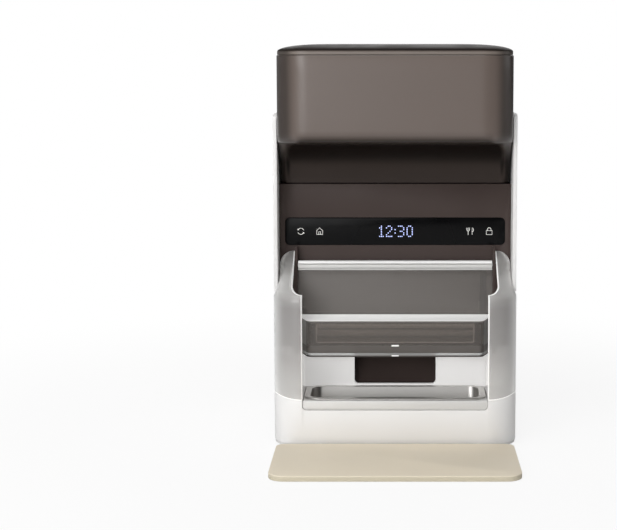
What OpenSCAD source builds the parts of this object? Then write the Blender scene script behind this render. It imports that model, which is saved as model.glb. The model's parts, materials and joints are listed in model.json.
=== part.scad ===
// Automatic dry-food feeder that opens its visor for one tagged pet.
// Front faces -Y, up is +Z, and the origin is on the floor under the middle of body and mat.

/* [Body] */
// Width across the white side shells
body_w = 209.2; // [200:0.2:224]
// Depth of the body, from the front of the base to the rear cover
body_d = 206; // [200:1:220]
// Radius of the two front corners
front_r = 25; // [18:1:28]
// Radius of the two rear corners
rear_r = 20; // [16:1:24]
// Wall of the white shells
shell_t = 3.3; // [2.6:0.1:3.6]
// Height of the base at its front edge
base_top = 40.8; // [39:0.2:46]
// Rise of the edge between base and hood, from the front to the sides
seam_rise = 3.2; // [1:0.2:4]
// Height of the plinth under the base
plinth_h = 3.2; // [3:0.1:4]
// Thickness of the base deck and of the walls round the bowl well
deck_t = 3; // [2:0.1:3.5]
// Height of the side shells
side_top = 284; // [270:1:300]
// Radius of the upper front corner of the side shells
side_top_r = 8; // [4:1:14]
// Setback of the side shells behind the front of the base
side_setback = 27; // [22:1:34]
// Gap left between pieces that fit into each other
fit = 0.3; // [0.2:0.05:0.4]

/* [Floor mat] */
// Width of the mat
mat_w = 202; // [180:1:220]
// Depth of the mat in front of the body
mat_d = 100; // [80:1:120]
// Thickness of the mat
mat_t = 4.7; // [3.5:0.1:6]
// Space between mat and body
mat_gap = 4; // [2:0.5:6]
// Radius of the mat's front corners
mat_r = 13; // [8:1:18]
// Width of the tongue that reaches under the base
tongue_w = 120; // [80:1:130]
// Length of the tongue under the base
tongue_l = 15; // [10:1:18]
// Thickness of the tongue
tongue_t = 1.1; // [0.8:0.1:1.3]

/* [Food tank] */
// Width of the tank
tank_w = 201.6; // [197:0.2:201.6]
// Underside of the tank, where it stands on the housing
tank_z0 = 222.5; // [216:0.5:232]
// Upper edge of the tank
tank_top = 334; // [322:1:350]
// Radius of the tank's front corners
tank_r = 28.5; // [24:0.5:34]
// Wall of the tank
tank_wall = 2.5; // [2:0.1:3]
// Lowest point of the overhanging front of the tank
bulge_z = 259; // [252:1:262]
// Radius of the overhang's lower front edge
bulge_r = 6; // [3:1:8]
// Radius of the outlet at the bottom of the funnel
outlet_r = 30; // [26:1:32]
// Height of the funnel above the tank's underside
funnel_h = 62; // [56:1:68]
// Length of the neck below the tank's underside
neck_l = 24; // [22:1:26]

/* [Lid] */
// Height of the lid above the tank
lid_h = 9.2; // [8:0.1:12]
// Crown of the lid, from its edge to its middle
lid_crown = 2; // [1:0.1:3]
// Step from the tank's side to the lid's side
lid_inset = 0.6; // [0.3:0.1:1.2]
// Wall of the lid
lid_t = 2.4; // [2:0.1:3]
// Depth of the lid's skirt inside the tank
skirt_h = 12; // [8:1:16]
// Radius of the desiccant box
dry_r = 30; // [24:1:36]
// Height of the desiccant box
dry_h = 20; // [14:1:24]

/* [Housing] */
// Setback of the housing's front behind the front of the base
housing_setback = 50; // [48:1:53]
// Thickness of the housing
housing_t = 3; // [2.4:0.1:3.4]
// Lower edge of the housing
housing_z0 = 81; // [80:0.5:84]
// Width of the display window
window_w = 192.6; // [180:0.2:194]
// Height of the display window
window_h = 24.4; // [20:0.2:26]
// Height of the window's centre
window_z = 180.7; // [180.5:0.1:186]
// Thickness of the window
window_t = 1.4; // [1:0.1:1.8]
// Corner radius of the window
window_r = 4.2; // [3:0.1:6]
// Width of the LED matrix
matrix_w = 42; // [38:1:48]
// Height of the LED matrix
matrix_h = 13; // [12:0.5:15]
// Width of the reader bar cover
reader_w = 141; // [120:1:141]
// Height of the reader bar cover
reader_h = 17.5; // [15:0.5:17.5]
// Radius of the bar across the reader cover
reader_bar_r = 4.5; // [3.5:0.1:5]

/* [Hood] */
// Thickness of the clear hood
hood_t = 3; // [2.4:0.1:3.2]
// Opening between the front edges of the two hood wings
hood_gap_w = 158.2; // [157.5:0.2:160]
// Opening between the upper parts of the two wings
hood_notch_w = 175; // [174.8:0.1:175.6]
// Height of the hood's shoulder
shoulder_z = 131; // [128:0.5:133]
// Height at which the hood meets the housing
hood_top = 163.7; // [162:0.1:166]
// Slope of the hood's upper part, in degrees
hood_slope = 34.5; // [33:0.5:36]
// Radius between the hood's front and slope
hood_r = 10; // [7:1:12]
// Depth of the hood below its shoulder
hood_d = 62; // [61:0.5:66]

/* [Visor] */
// Setback of the visor's front behind the front of the base
visor_setback = 10; // [9:0.5:14]
// Wall of the visor
visor_t = 2.2; // [1.8:0.1:2.4]
// Width of the visor's box at its front
visor_front_w = 154; // [150:1:155]
// Width of the visor's box halfway back
visor_mid_w = 161.2; // [158:0.2:163]
// Width of the visor's box at its back
visor_box_w = 168.8; // [166:0.2:169]
// Width of the visor's upper panel
visor_w = 172; // [171:0.2:172.6]
// Lower edge of the visor's box
visor_z0 = 80.3; // [79:0.1:82]
// Height of the ledge on top of the visor's box
ledge_z = 108.2; // [104:0.2:112]
// Thickness of the upper panel
panel_t = 2.5; // [2:0.1:2.6]
// Gap between the panel and the housing behind it
panel_gap = 3.5; // [3.3:0.1:3.9]
// Lower edge of the visor's top bar
bar_z0 = 147.7; // [146:0.1:149]
// Height of the top bar
bar_h = 7.9; // [6:0.1:8.2]
// Depth of the top bar
bar_d = 6; // [5:0.1:7]
// Width of the top bar
bar_w = 169; // [164:0.2:169.4]
// Height of the seal strip under the visor
seal_h = 3.5; // [3:0.1:4]
// Travel of the visor up from where it rests
visor_up = 11.5; // [8:0.5:11.5]
// Thickness of the guide rails beside the visor
rail_t = 2.2; // [1.6:0.1:2.2]

/* [Bowl] */
// Width of the bowl over its rim
bowl_w = 156.8; // [150:0.2:157.2]
// Depth of the bowl over its rim
bowl_d = 53.6; // [50:0.2:54]
// Height of the bowl
bowl_h = 22; // [19:0.5:23]
// Width of the bowl's rim
rim_w = 4.5; // [3.5:0.1:6]
// Thickness of the bowl's wall
bowl_t = 0.8; // [0.6:0.1:1.2]
// Corner radius of the rim
bowl_r = 14; // [12:1:18]
// Width of the bowl tray
tray_w = 158; // [157.5:0.1:160]
// Height of the bowl tray
tray_h = 7.8; // [6:0.1:9]
// Radius of the tray's lower edges
tray_r = 3.5; // [2:0.1:5]

/* [Bay] */
// Setback of the bay's back wall
wall_setback = 58.5; // [58.2:0.1:60]
// Thickness of the bay's back wall
wall_t = 2.5; // [2:0.1:3]
// Width of the raised middle of the wall
wall_pad_w = 161; // [150:1:170]
// Width of the chute's mouth
mouth_w = 72.2; // [60:0.2:80]
// Lower edge of the chute's mouth
mouth_z0 = 43.1; // [42.8:0.1:44]
// Upper edge of the chute's mouth
mouth_z1 = 77; // [70:1:77]
// Wall of the chute
chute_t = 1.8; // [1.4:0.1:2.2]

/* [Portion drive] */
// Distance of the rotor's axis behind the front of the base
rotor_setback = 129; // [128:0.5:131]
// Radius of the rotor chamber
chamber_r = 58; // [52:1:60]
// Wall of the chamber
chamber_t = 3; // [2:0.1:3.4]
// Height of the chamber
chamber_h = 36; // [30:1:38]
// Number of vanes on the rotor
vanes = 6; // [5:1:8]
// Thickness of a vane
vane_t = 2.5; // [2:0.1:4]
// Radius of the rotor's hub
hub_r = 9; // [8:0.5:12]
// Radius of the rotor shaft
shaft_r = 4; // [3:0.1:5]
// Clearance of a shaft in its bore
shaft_play = 0.05; // [0.02:0.01:0.1]
// Radius of the hole that drops food into the chute
drop_r = 14; // [11:0.5:14]
// Height of the deck's underside in the chassis
chassis_z = 144; // [143:0.5:146]
// Thickness of the chassis deck
chassis_t = 3; // [2.5:0.1:4]
// Radius of the chassis legs
leg_r = 4.5; // [4:0.1:6]

/* [Gears] */
// Module of the rotor gear and feed pinion
feed_m = 1; // [0.9:0.05:1]
// Teeth of the rotor gear
rotor_teeth = 36; // [36]
// Teeth of the feed pinion
feed_teeth = 18; // [18]
// Module of the visor's rack and pinion
rack_m = 0.8; // [0.7:0.05:0.8]
// Teeth of the visor pinion
visor_teeth = 18; // [18]
// Width of the gears
gear_w = 5; // [4:0.5:5]
// Play between meshing teeth
mesh_play = 0.1; // [0.06:0.01:0.12]
// Radius of the pinion shafts
pin_shaft_r = 2.5; // [2:0.1:3]

/* [Power] */
// Radius of a backup cell
cell_r = 16.8; // [14:0.1:17]
// Length of a backup cell
cell_l = 60; // [50:0.5:61]
// Number of backup cells
cells = 3; // [2:1:3]
// Wall of the battery box
box_t = 1.8; // [1.5:0.1:2.2]
// Radius of the reset button
button_r = 4; // [3:0.1:6]
// Travel of the reset button
button_travel = 1.2; // [0.8:0.1:1.4]

/* [Fasteners] */
// Radius of the screw shanks
screw_r = 1.5; // [1.2:0.1:1.8]
// Radius of the screw heads
head_r = 3; // [2.6:0.1:3.2]
// Height of the screw heads
head_h = 1.6; // [1.2:0.1:1.8]

/* [Hidden] */
$fn = 72;

// Planes that the pieces share
hw = body_w / 2;
in_w = hw - shell_t;
bf = (mat_d + mat_gap - body_d) / 2;
br = bf + body_d;
rear_in = br - shell_t;
housing_y = bf + housing_setback;
housing_w = in_w - fit;
wall_y = bf + wall_setback;
wall_z0 = base_top + fit;
rotor_y = bf + rotor_setback;
deck_z = chassis_z + chassis_t;
above = 20;
pressure_angle = 20;

// Edge between base and hood: level at the front, then an arc that rises to the sides
seam_x = 80;
seam_run = in_w - seam_x;
seam_arc_r = (pow(seam_run, 2) + pow(seam_rise, 2)) / (2 * seam_rise);
function seam_z(x) = base_top + seam_arc_r - sqrt(pow(seam_arc_r, 2) - pow(min(x, in_w) - seam_x, 2));

// Bowl, tray and the well that takes them
tray_top = base_top - 0.2;
tray_z0 = tray_top - tray_h;
tray_y0 = bf + 0.6;
tray_y1 = wall_y - 0.6;
well_y1 = tray_y1 + fit;
rim_z = tray_top + fit;
rim_t = 1.2;
bowl_y0 = tray_y0 + 2.8;
bowl_y1 = bowl_y0 + bowl_d;
bowl_z0 = rim_z + rim_t - bowl_h;
well_z = bowl_z0 - 1.5;
bowl_gap = 1;
well_gap = 2;

// Visor, from its box up to its top bar
visor_y = bf + visor_setback;
panel_y1 = housing_y - panel_gap;
panel_y0 = panel_y1 - panel_t;
visor_mid_y = visor_y + 16;
visor_down = visor_z0 - seal_h - rim_z - rim_t - fit;
seal_t = visor_t - 0.4;
pin_r = 1.3;
pin_l = 2.3;
pin_y = (panel_y0 + panel_y1) / 2;
pin_z = bar_z0 + bar_h / 2;

// Guide rails on either side of the visor
rail_gap = 0.5;
rail_x0 = max(visor_box_w, bar_w) / 2 + rail_gap;
rail_x1 = rail_x0 + rail_t;
rail_web = 1.8;
rail_lip = 2;
rail_y0 = panel_y0 - rail_gap - rail_lip;
rail_z0 = ledge_z - visor_t - visor_down + 1.5;
rail_z1 = pin_z + visor_up + pin_r + 3;

// Hood slope and its corner
function slope_z(y, t) = hood_top - (housing_y - y) * tan(hood_slope) - t / cos(hood_slope);
hood_y1 = housing_y - fit;
wing_w = in_w - fit;
notch_z = shoulder_z + 0.5;

// Rack, pinion and gearbox that move the visor
rack_w = 6;
rack_x0 = reader_w / 2 + 3.5;
rack_tip_y = housing_y - 0.4;
rack_line_y = rack_tip_y - 0.8 * rack_m;
visor_pinion_r = rack_m * visor_teeth / 2;
visor_pinion_y = rack_line_y + visor_pinion_r + mesh_play;
visor_pinion_z = 110;
rack_pitch = PI * rack_m;
rack_up = ceil((visor_down + 7) / rack_pitch);
rack_down = ceil((visor_up + 7) / rack_pitch);
gearbox_x1 = rack_x0 - 1.5;
gearbox_w = 30;
gearbox_d = 20;
shaft_in = 12;
gearbox_x0 = gearbox_x1 - gearbox_w;
gearbox_r = 10.5;
motor_r = 9;
motor_l = 26;

// Rotor chamber, gears under it and the feed motor
chamber_top = deck_z + chamber_h;
chamber_in = chamber_r - chamber_t;
vane_r = chamber_in - 0.8;
rotor_z0 = deck_z + chamber_t + 0.5;
rotor_z1 = chamber_top - 1.5;
drop_y = rotor_y - 37;
rotor_gear_r = feed_m * rotor_teeth / 2;
feed_pinion_r = feed_m * feed_teeth / 2;
gear_z0 = chassis_z - 2 - gear_w;
feed_y = rotor_y + rotor_gear_r + feed_pinion_r + mesh_play;
feed_box_top = gear_z0 - 2;
feed_box_h = 23;
feed_box_w = 36;
feed_can_r = 14;
feed_can_l = 29;
post_r = 3.2;
post_x = feed_box_w / 2 + 7;
feed_box_front = 17;
feed_box_back = 15;
feed_ear_t = 3;
feed_shaft_in = 15;
leg_x = in_w - 11;
leg_y = [bf + hood_d + 12, rear_in - 12];
neck_z0 = tank_z0 - neck_l;
tank_y1 = rear_in - 2 * fit;
tank_rear_r = rear_r - shell_t + 4;
neck_r0 = outlet_r + tank_wall;
funnel_y = rotor_y - bf - tank_r;
funnel_reach = norm([tank_w / 2 - tank_r, funnel_y]) + tank_r - tank_wall - outlet_r;
neck_hole_r = neck_r0 + funnel_reach * neck_l / (funnel_h + neck_l) + 1;

// Housing, display and reader
housing_top = tank_z0 - fit;
housing_deck_z = housing_top - housing_t;
window_y1 = housing_y + window_t;
board_t = 1.6;

// Battery box, standing on the base deck at the rear
box_w = 2 * cell_r * cells + 2 * fit + 2 * box_t;
box_h = 2 * cell_r + 2 * fit + 2 * box_t;
box_z0 = base_top + fit;
door_w = box_w - 2 * box_t;
door_z0 = box_z0 + box_t;
door_h = box_h - 2 * box_t;
contact_r = 6;
contact_t = 2;
box_y1 = rear_in - fit;
cell_y1 = box_y1 - 2.2;
cell_y0 = cell_y1 - cell_l;
box_y0 = cell_y0 - 2.2 - box_t;
cell_z = box_z0 + box_h / 2;

// Lid
lid_z0 = tank_top + fit;
lid_top = lid_z0 + lid_h;
lid_w = tank_w / 2 - lid_inset;
lid_ceiling = lid_top - lid_crown - lid_t;
skirt_z0 = tank_top - skirt_h;
skirt_in = tank_wall + 2.8;
dry_z0 = lid_ceiling - dry_h;
dry_y = (bf + tank_y1) / 2;
cover_h = 3;

white = "#ecebea";
brown = "#5c5049";
dark = "#453c39";
clear = "#dfe2e2";
smoke = "#6f6b69";

// A box between six planes
module block(x0, x1, y0, y1, z0, z1) {
    translate([x0, y0, z0]) cube([x1 - x0, y1 - y0, z1 - z0]);
}

// Plan of half width w between y0 and y1, with front corners rf and rear corners rr
module plan(w, y0, y1, rf, rr) {
    translate([-w, y0 + rf]) square([2 * w, y1 - rr - y0 - rf]);
    translate([rf - w, y0]) square([2 * (w - rf), y1 - y0 - rr]);
    translate([rr - w, y0 + rf]) square([2 * (w - rr), y1 - y0 - rf]);
    for (side = [-1, 1]) {
        translate([side * (w - rf), y0 + rf]) circle(rf);
        translate([side * (w - rr), y1 - rr]) circle(rr);
    }
}

module prism(w, y0, y1, rf, rr, z0, z1) {
    translate([0, 0, z0]) linear_extrude(z1 - z0) plan(w, y0, y1, rf, rr);
}

// A flat outline in Y and Z, carried across from x0 to x1
module across(x0, x1) {
    translate([x0, 0, 0]) rotate([90, 0, 90]) linear_extrude(x1 - x0) children();
}

// A flat outline in X and Z, carried back from y0 to y1
module along(y0, y1) {
    translate([0, y1, 0]) rotate([90, 0, 0]) linear_extrude(y1 - y0) children();
}

// Rounded rectangle round a centre
module pad(w, h, r) {
    square([w - 2 * r, h], center = true);
    square([w, h - 2 * r], center = true);
    for (x = [-1, 1], y = [-1, 1]) translate([x * (w / 2 - r), y * (h / 2 - r)]) circle(r);
}

// Outline with rounded lower corners, from z0 up to z1
module cradle(w, z0, z1, r) {
    translate([-w, z0 + r]) square([2 * w, z1 - z0 - r]);
    translate([r - w, z0]) square([2 * (w - r), z1 - z0]);
    for (side = [-1, 1]) translate([side * (w - r), z0 + r]) circle(r);
}

function arc(cx, cy, r, a0, a1, n = 6) = [
    for (i = [0:n]) let(a = a0 + (a1 - a0) * i / n) [cx + r * cos(a), cy + r * sin(a)]
];

// Everything above the edge between base and hood
module above_seam(lift) {
    steps = 6;
    edge = [for (i = [0:steps]) let(x = seam_x + seam_run * i / steps) [x, seam_z(x) + lift]];
    right = concat(edge, [[hw + above, seam_z(in_w) + lift], [hw + above, tank_top]]);
    n = len(right) - 1;
    left = [for (i = [0:n]) [-right[n - i][0], right[n - i][1]]];
    along(bf - above, br + above) polygon(concat(right, left));
}

// Cap screw with a crossed head, its head's underside on the origin and its shank pointing down
module screw(l) {
    difference() {
        union() {
            cylinder(r = head_r - 0.2, h = head_h);
            translate([0, 0, -l]) cylinder(r = screw_r, h = l + 0.1);
        }
        for (turn = [0, 90]) rotate(turn) translate([-1.6, -0.35, head_h - 0.8]) cube([3.2, 0.7, 1]);
    }
}

// Gear with involute teeth, module m and n teeth, one tooth centred on +X
function involute(a) = tan(a) - a * PI / 180;
function half_tooth(r, m, n) =
    let(base = m * n / 2 * cos(pressure_angle))
    let(swing = involute(pressure_angle) - involute(acos(min(1, base / r))))
    90 / n + (swing - mesh_play / (m * n)) * 180 / PI;
module gear(m, n, w, bore) {
    root = m * n / 2 - 1.2 * m;
    tip = m * n / 2 + m;
    flank = 5;
    outline = [
        for (k = [0:n - 1], s = [-1, 1], j = [0:flank])
        let(i = s < 0 ? j : flank - j)
        let(r = root + (tip - root) * i / flank)
        let(a = 360 * k / n + s * half_tooth(r, m, n))
        [r * cos(a), r * sin(a)]
    ];
    linear_extrude(w) difference() {
        polygon(outline);
        circle(bore);
    }
}

// --- Base, bowl and mat ---

foot_y = [bf + 30, br - 30];
foot_x = hw - 30;
foot_r = 8;
cover_z0 = 0.8;
base_screw_x = hw - 13;
base_screw_y = [bf + 52, br - 52];
leg_screw_l = 9;

module base_holes() {
    for (x = [-1, 1], y = base_screw_y) translate([x * base_screw_x, y, plinth_h - 1])
        cylinder(r = screw_r + shaft_play, h = 14);
    for (x = [-1, 1], y = leg_y) translate([x * leg_x, y, base_top - leg_screw_l + 2])
        cylinder(r = screw_r + shaft_play, h = leg_screw_l);
}

module base_shell() color(white) difference() {
    union() {
        difference() {
            prism(hw, bf, br, front_r, rear_r, plinth_h, base_top + seam_rise);
            prism(in_w, bf + shell_t, rear_in, front_r - shell_t, rear_r - shell_t,
                plinth_h - 1, base_top - deck_t);
            prism(in_w, bf + shell_t, rear_in, front_r - shell_t, rear_r - shell_t,
                base_top, base_top + above);
            above_seam(0);
        }
        block(-tray_w / 2 - deck_t, tray_w / 2 + deck_t, bf + 1, well_y1 + deck_t,
            well_z - deck_t, base_top);
        for (x = [-1, 1], y = base_screw_y) translate([x * base_screw_x, y, plinth_h])
            cylinder(r = leg_r, h = base_top - plinth_h - 1);
        for (x = [-1, 1], y = leg_y) translate([x * leg_x, y, base_top - 12])
            cylinder(r = leg_r, h = 11);
    }
    along(bf - 1, well_y1) cradle(tray_w / 2 + fit, tray_z0 - fit, base_top + above, tray_r);
    block(-well_half, well_half, bowl_y0 + rim_w - well_gap, bowl_y1 - rim_w + well_gap,
        well_z, base_top);
    base_holes();
}
well_half = bowl_w / 2 - rim_w + well_gap;

module bottom_cover() color(white) difference() {
    prism(hw - 0.6, bf + 0.6, br - 0.6, front_r - 0.6, rear_r - 0.6, cover_z0, plinth_h);
    block(-tongue_w / 2 - fit, tongue_w / 2 + fit, bf - 1, bf + tongue_l + fit, 0, tongue_t + fit);
    for (x = [-1, 1], y = foot_y) translate([x * foot_x, y, 0]) cylinder(r = foot_r + 0.2, h = foot_h);
    for (x = [-1, 1], y = base_screw_y) translate([x * base_screw_x, y, 0]) {
        cylinder(r = head_r, h = cover_z0 + head_h - 0.2);
        cylinder(r = screw_r + 0.2, h = above);
    }
}
foot_h = cover_z0 + 1.4;

module rubber_feet() color("#2b2b2b") for (x = [-1, 1], y = foot_y) translate([x * foot_x, y, 0])
    cylinder(r = foot_r, h = foot_h);

module base_screws() color("silver") for (x = [-1, 1], y = base_screw_y)
    translate([x * base_screw_x, y, cover_z0 + head_h - 0.2]) mirror([0, 0, 1]) screw(12);

mat_y0 = bf - mat_gap - mat_d;
mat_y1 = bf - mat_gap;
module mat() color("#dcd0b8") {
    prism(mat_w / 2, mat_y0, mat_y1, mat_r, 8, 0, mat_t);
    block(-tongue_w / 2, tongue_w / 2, mat_y1 - 5, bf + tongue_l, 0, tongue_t);
}

module bowl_tray() color(white) difference() {
    along(tray_y0, tray_y1) cradle(tray_w / 2, tray_z0, tray_top, tray_r);
    prism(bowl_w / 2 - rim_w + bowl_gap, bowl_y0 + rim_w - bowl_gap, bowl_y1 - rim_w + bowl_gap,
        bowl_r - rim_w + bowl_gap, bowl_r - rim_w + bowl_gap, 0, base_top + above);
}

module bowl_body(t, z0, z1) {
    inset = rim_w + t;
    r = bowl_r - rim_w - t;
    prism(bowl_w / 2 - inset, bowl_y0 + inset, bowl_y1 - inset, r, r, z0, z1);
}
module bowl() color("silver") difference() {
    union() {
        prism(bowl_w / 2, bowl_y0, bowl_y1, bowl_r, bowl_r, rim_z, rim_z + rim_t);
        bowl_body(0, bowl_z0 + 2, rim_z + rim_t);
        bowl_body(1.5, bowl_z0, bowl_z0 + 3);
    }
    bowl_body(bowl_t, bowl_z0 + 2 + bowl_t, rim_z + above);
    bowl_body(1.5 + bowl_t, bowl_z0 + bowl_t, bowl_z0 + 4);
}

// --- Bay wall and chute ---

mouth_r = 3.7;
module bay_back_wall() color(white) difference() {
    union() {
        block(-housing_w, housing_w, wall_y + 1.5, wall_y + 1.5 + wall_t, wall_z0, housing_z0 + 3);
        block(-wall_pad_w / 2, wall_pad_w / 2, wall_y, wall_y + 2, wall_z0, housing_z0 - 2.5);
    }
    along(wall_y - 1, wall_y + above) cradle(mouth_w / 2, mouth_z0, mouth_z1, mouth_r);
}

chute_y0 = wall_y + 1.5 + wall_t + fit;
chute_top = chassis_z - fit;
chute_front = drop_y - drop_r - 2;
chute_rear = drop_y + drop_r + 1;
chute_rise = 18;
chute_fall = 44;
chute_sill = 4;
chute_lip = 2;
function chute_side(t, reach) = [
    [chute_y0 - reach, mouth_z0 - t],
    [chute_y0 - reach, mouth_z1 + t],
    [chute_y0 + chute_lip, mouth_z1 + t],
    [chute_front - t, mouth_z1 + chute_rise + t],
    [chute_front - t, chute_top + reach],
    [chute_rear + t, chute_top + reach],
    [chute_rear + t, chute_top - chute_fall],
    [chute_y0 + chute_sill + t, mouth_z0 - t]
];
module chute_duct() color(dark) difference() {
    across(-mouth_w / 2 - chute_t, mouth_w / 2 + chute_t) polygon(chute_side(chute_t, 0));
    across(-mouth_w / 2, mouth_w / 2) polygon(chute_side(0, 1));
}

sensor_x = mouth_w / 2 + chute_t;
sensor_drop = 24;
sensor_z = chute_top - sensor_drop;
sensor_d = 10;
sensor_h = 8;
led_r = 1.5;
led_l = 2.5;
led_pitch = 5;
module chute_sensors() color("seagreen") for (side = [0, 1]) mirror([side, 0, 0]) {
    block(sensor_x + led_l, sensor_x + led_l + board_t, drop_y - sensor_d, drop_y + sensor_d,
        sensor_z - sensor_h, sensor_z + sensor_h);
    for (k = [-1:1]) translate([sensor_x, drop_y + k * led_pitch, sensor_z]) rotate([0, 90, 0])
        cylinder(r = led_r, h = led_l + 0.1);
}

// --- White shells ---

// Upper front corner of the side shell, as a cutter in Y and Z
module shell_corner() {
    y = bf + side_setback;
    difference() {
        translate([y - 1, side_top - side_top_r]) square(side_top_r + 1);
        translate([y + side_top_r, side_top - side_top_r]) circle(side_top_r);
        translate([y + side_top_r, side_top - side_top_r]) square(side_top_r + 2);
    }
}
module side_shell_right() color(white) difference() {
    prism(hw, bf, br, front_r, rear_r, base_top, side_top);
    prism(in_w, bf + shell_t, rear_in, front_r - shell_t, rear_r - shell_t, 0, side_top + 1);
    block(-hw - 1, hw - rear_r, bf - 1, br + 1, 0, side_top + 1);
    block(0, hw + 1, bf - 1, bf + side_setback, 0, side_top + 1);
    block(0, hw + 1, bf - 1, bf + hood_d, 0, shoulder_z + fit);
    across(0, hw + 1) shell_corner();
    below_seam(fit);
}
module side_shell_left() mirror([1, 0, 0]) side_shell_right();

// Everything below the edge between base and hood
module below_seam(lift) {
    difference() {
        block(-hw - 1, hw + 1, bf - 1, br + 1, plinth_h, base_top + seam_rise + above);
        above_seam(lift);
    }
}

cover_w = hw - rear_r - fit;
rear_screw_x = cover_w - 10;
rear_screw_z = [chassis_z + chassis_t / 2, housing_deck_z - 6];
boss_l = 12;
boss_w = 10;
module rear_boss(z) for (x = [-1, 1])
    translate([x * rear_screw_x - boss_w / 2, rear_in - fit - boss_l, z - 6]) cube([boss_w, boss_l, 12]);
module rear_pilot(z) for (x = [-1, 1]) translate([x * rear_screw_x, br, z]) rotate([90, 0, 0])
    cylinder(r = screw_r + shaft_play, h = shell_t + boss_l - 2);
speaker_x = 50;
speaker_z = 190;
speaker_r = 20;
inlet_x = -68;
port_h = 20;
inlet_z = base_top + port_h;
inlet_w = 14;
button_x = 68;
button_z = base_top + port_h;
vent_rows = 7;
vent_pitch = 7;
vent_z = 225;
module rear_cover() color(white) difference() {
    block(-cover_w, cover_w, rear_in, br, base_top + fit, side_top);
    along(rear_in - 1, br + 1) translate([0, door_z0 + door_h / 2]) pad(door_w, door_h, 3);
    for (z = rear_screw_z) rear_pilot(z);
    for (x = [-1, 1], z = rear_screw_z) translate([x * rear_screw_x, br + 1, z]) rotate([90, 0, 0])
        cylinder(r = head_r, h = 1 + head_h + 0.2);
    along(rear_in - 1, br + 1) {
        translate([inlet_x, inlet_z]) square(inlet_w - 4, center = true);
        translate([button_x, button_z]) circle(button_r + fit);
        translate([speaker_x, speaker_z]) for (ring = [0:3], k = [0:max(0, 6 * ring - 1)])
            rotate(60 * k / max(1, ring)) translate([4.2 * ring, 0]) circle(1.2);
        for (row = [0:vent_rows - 1]) translate([0, vent_z + vent_pitch * (row - vent_rows / 2) - 60])
            translate([-speaker_x, 0]) pad(44, 2.4, 1.1);
    }
}
module rear_screws() color("silver") for (x = [-1, 1], z = rear_screw_z)
    translate([x * rear_screw_x, br - head_h - 0.2, z]) rotate([-90, 0, 0]) screw(boss_l - 3);

// --- Housing, display and reader ---

window_gap = 0.2;
side_return = 40;
slot_r = visor_pinion_r + rack_m + 1.2;
reader_z = housing_z0 + 0.6 + reader_h / 2;
module electronics_housing() color(dark) difference() {
    union() {
        block(-housing_w, housing_w, housing_y, housing_y + housing_t, housing_z0, housing_top);
        for (side = [0, 1]) mirror([side, 0, 0])
            block(housing_w - housing_t, housing_w, housing_y + 1, housing_y + side_return,
                shoulder_z, housing_top);
        prism(housing_w, housing_y, rear_in - fit, 1, rear_r - shell_t + 1, housing_deck_z, housing_top);
        block(-housing_w, housing_w, housing_y, wall_y - fit, housing_z0 - 2.2, housing_z0);
        rear_boss(rear_screw_z[1]);
    }
    rear_pilot(rear_screw_z[1]);
    along(housing_y - 1, window_y1 + 0.2) translate([0, window_z])
        pad(window_w, window_h, window_r);
    along(housing_y - 1, housing_y + above) {
        translate([0, window_z]) square([matrix_w + 1, matrix_h + 1], center = true);
        translate([0, reader_z]) square([reader_w, reader_h], center = true);
        translate([rack_x0 - 0.5, visor_pinion_z - slot_r]) square([rack_w + 1, 2 * slot_r]);
    }
    translate([0, rotor_y, housing_deck_z - 1]) cylinder(r = neck_hole_r, h = housing_t + 2);
}

module display_window() color("#101012") along(housing_y, window_y1) translate([0, window_z])
    pad(window_w - 2 * window_gap, window_h - 2 * window_gap, window_r - window_gap);

display_y = housing_y + housing_t + fit;
module display_board() color("#1d3b2a") {
    block(-window_w / 2 + 4, window_w / 2 - 4, display_y, display_y + board_t,
        window_z - window_h / 2 + 2, window_z + window_h / 2 - 2);
    block(-matrix_w / 2, matrix_w / 2, window_y1 + fit, display_y + 0.1,
        window_z - matrix_h / 2, window_z + matrix_h / 2);
}

module reader_bar_cover() color(dark) {
    w = reader_w / 2 - fit;
    block(-w, w, housing_y + 0.6, housing_y + 2,
        reader_z - reader_h / 2 + fit, reader_z + reader_h / 2 - fit);
    difference() {
        translate([-w + 2, housing_y + 1.6, reader_z]) rotate([0, 90, 0])
            cylinder(r = reader_bar_r, h = 2 * w - 4);
        block(-w, w, housing_y + 1.5, housing_y + above, 0, tank_top);
    }
}
antenna_y = housing_y + housing_t + fit;
module reader_antenna() color("#7a4a21") difference() {
    along(antenna_y, antenna_y + board_t) translate([0, reader_z]) pad(reader_w + 6, reader_h - 2, 2);
    along(antenna_y - 1, antenna_y + above) translate([0, reader_z]) pad(reader_w - 10, reader_h - 9, 2);
}

// --- Hood ---

// Outline of the hood in Y and Z, set in by t from its outer face
function hood_side(t) =
    let(r = hood_r - t)
    let(z = slope_z(bf + t, t) - r * tan((90 - hood_slope) / 2))
    concat(
        [[bf + t, 0]],
        arc(bf + t + r, z, r, 180, 90 + hood_slope),
        [[housing_y + above, slope_z(housing_y + above, t)], [housing_y + above, 0]]
    );
module hood_solid(t) intersection() {
    union() {
        prism(hw - t, bf + t, br, front_r - t, 1, 0, shoulder_z - t);
        prism(wing_w - t, bf + t, br, front_r - t, 1, 0, tank_top);
    }
    across(-hw, hw) polygon(hood_side(t));
}
module hood_right() color(clear) intersection() {
    difference() {
        hood_solid(0);
        hood_solid(hood_t);
        block(-hw - 1, hood_gap_w / 2, bf - 1, br, 0, tank_top);
        block(-hw - 1, hood_notch_w / 2, bf - 1, br, notch_z, tank_top);
        block(0, hw + 1, bf + hood_d - fit, br + 1, 0, tank_top);
        block(0, hw + 1, hood_y1, br + 1, shoulder_z, tank_top);
        block(0, housing_w + fit, hood_y1, br + 1, shoulder_z - hood_t - 1, tank_top);
    }
    above_seam(fit);
}
module hood_left() mirror([1, 0, 0]) hood_right();

// --- Visor and its drive ---

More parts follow.
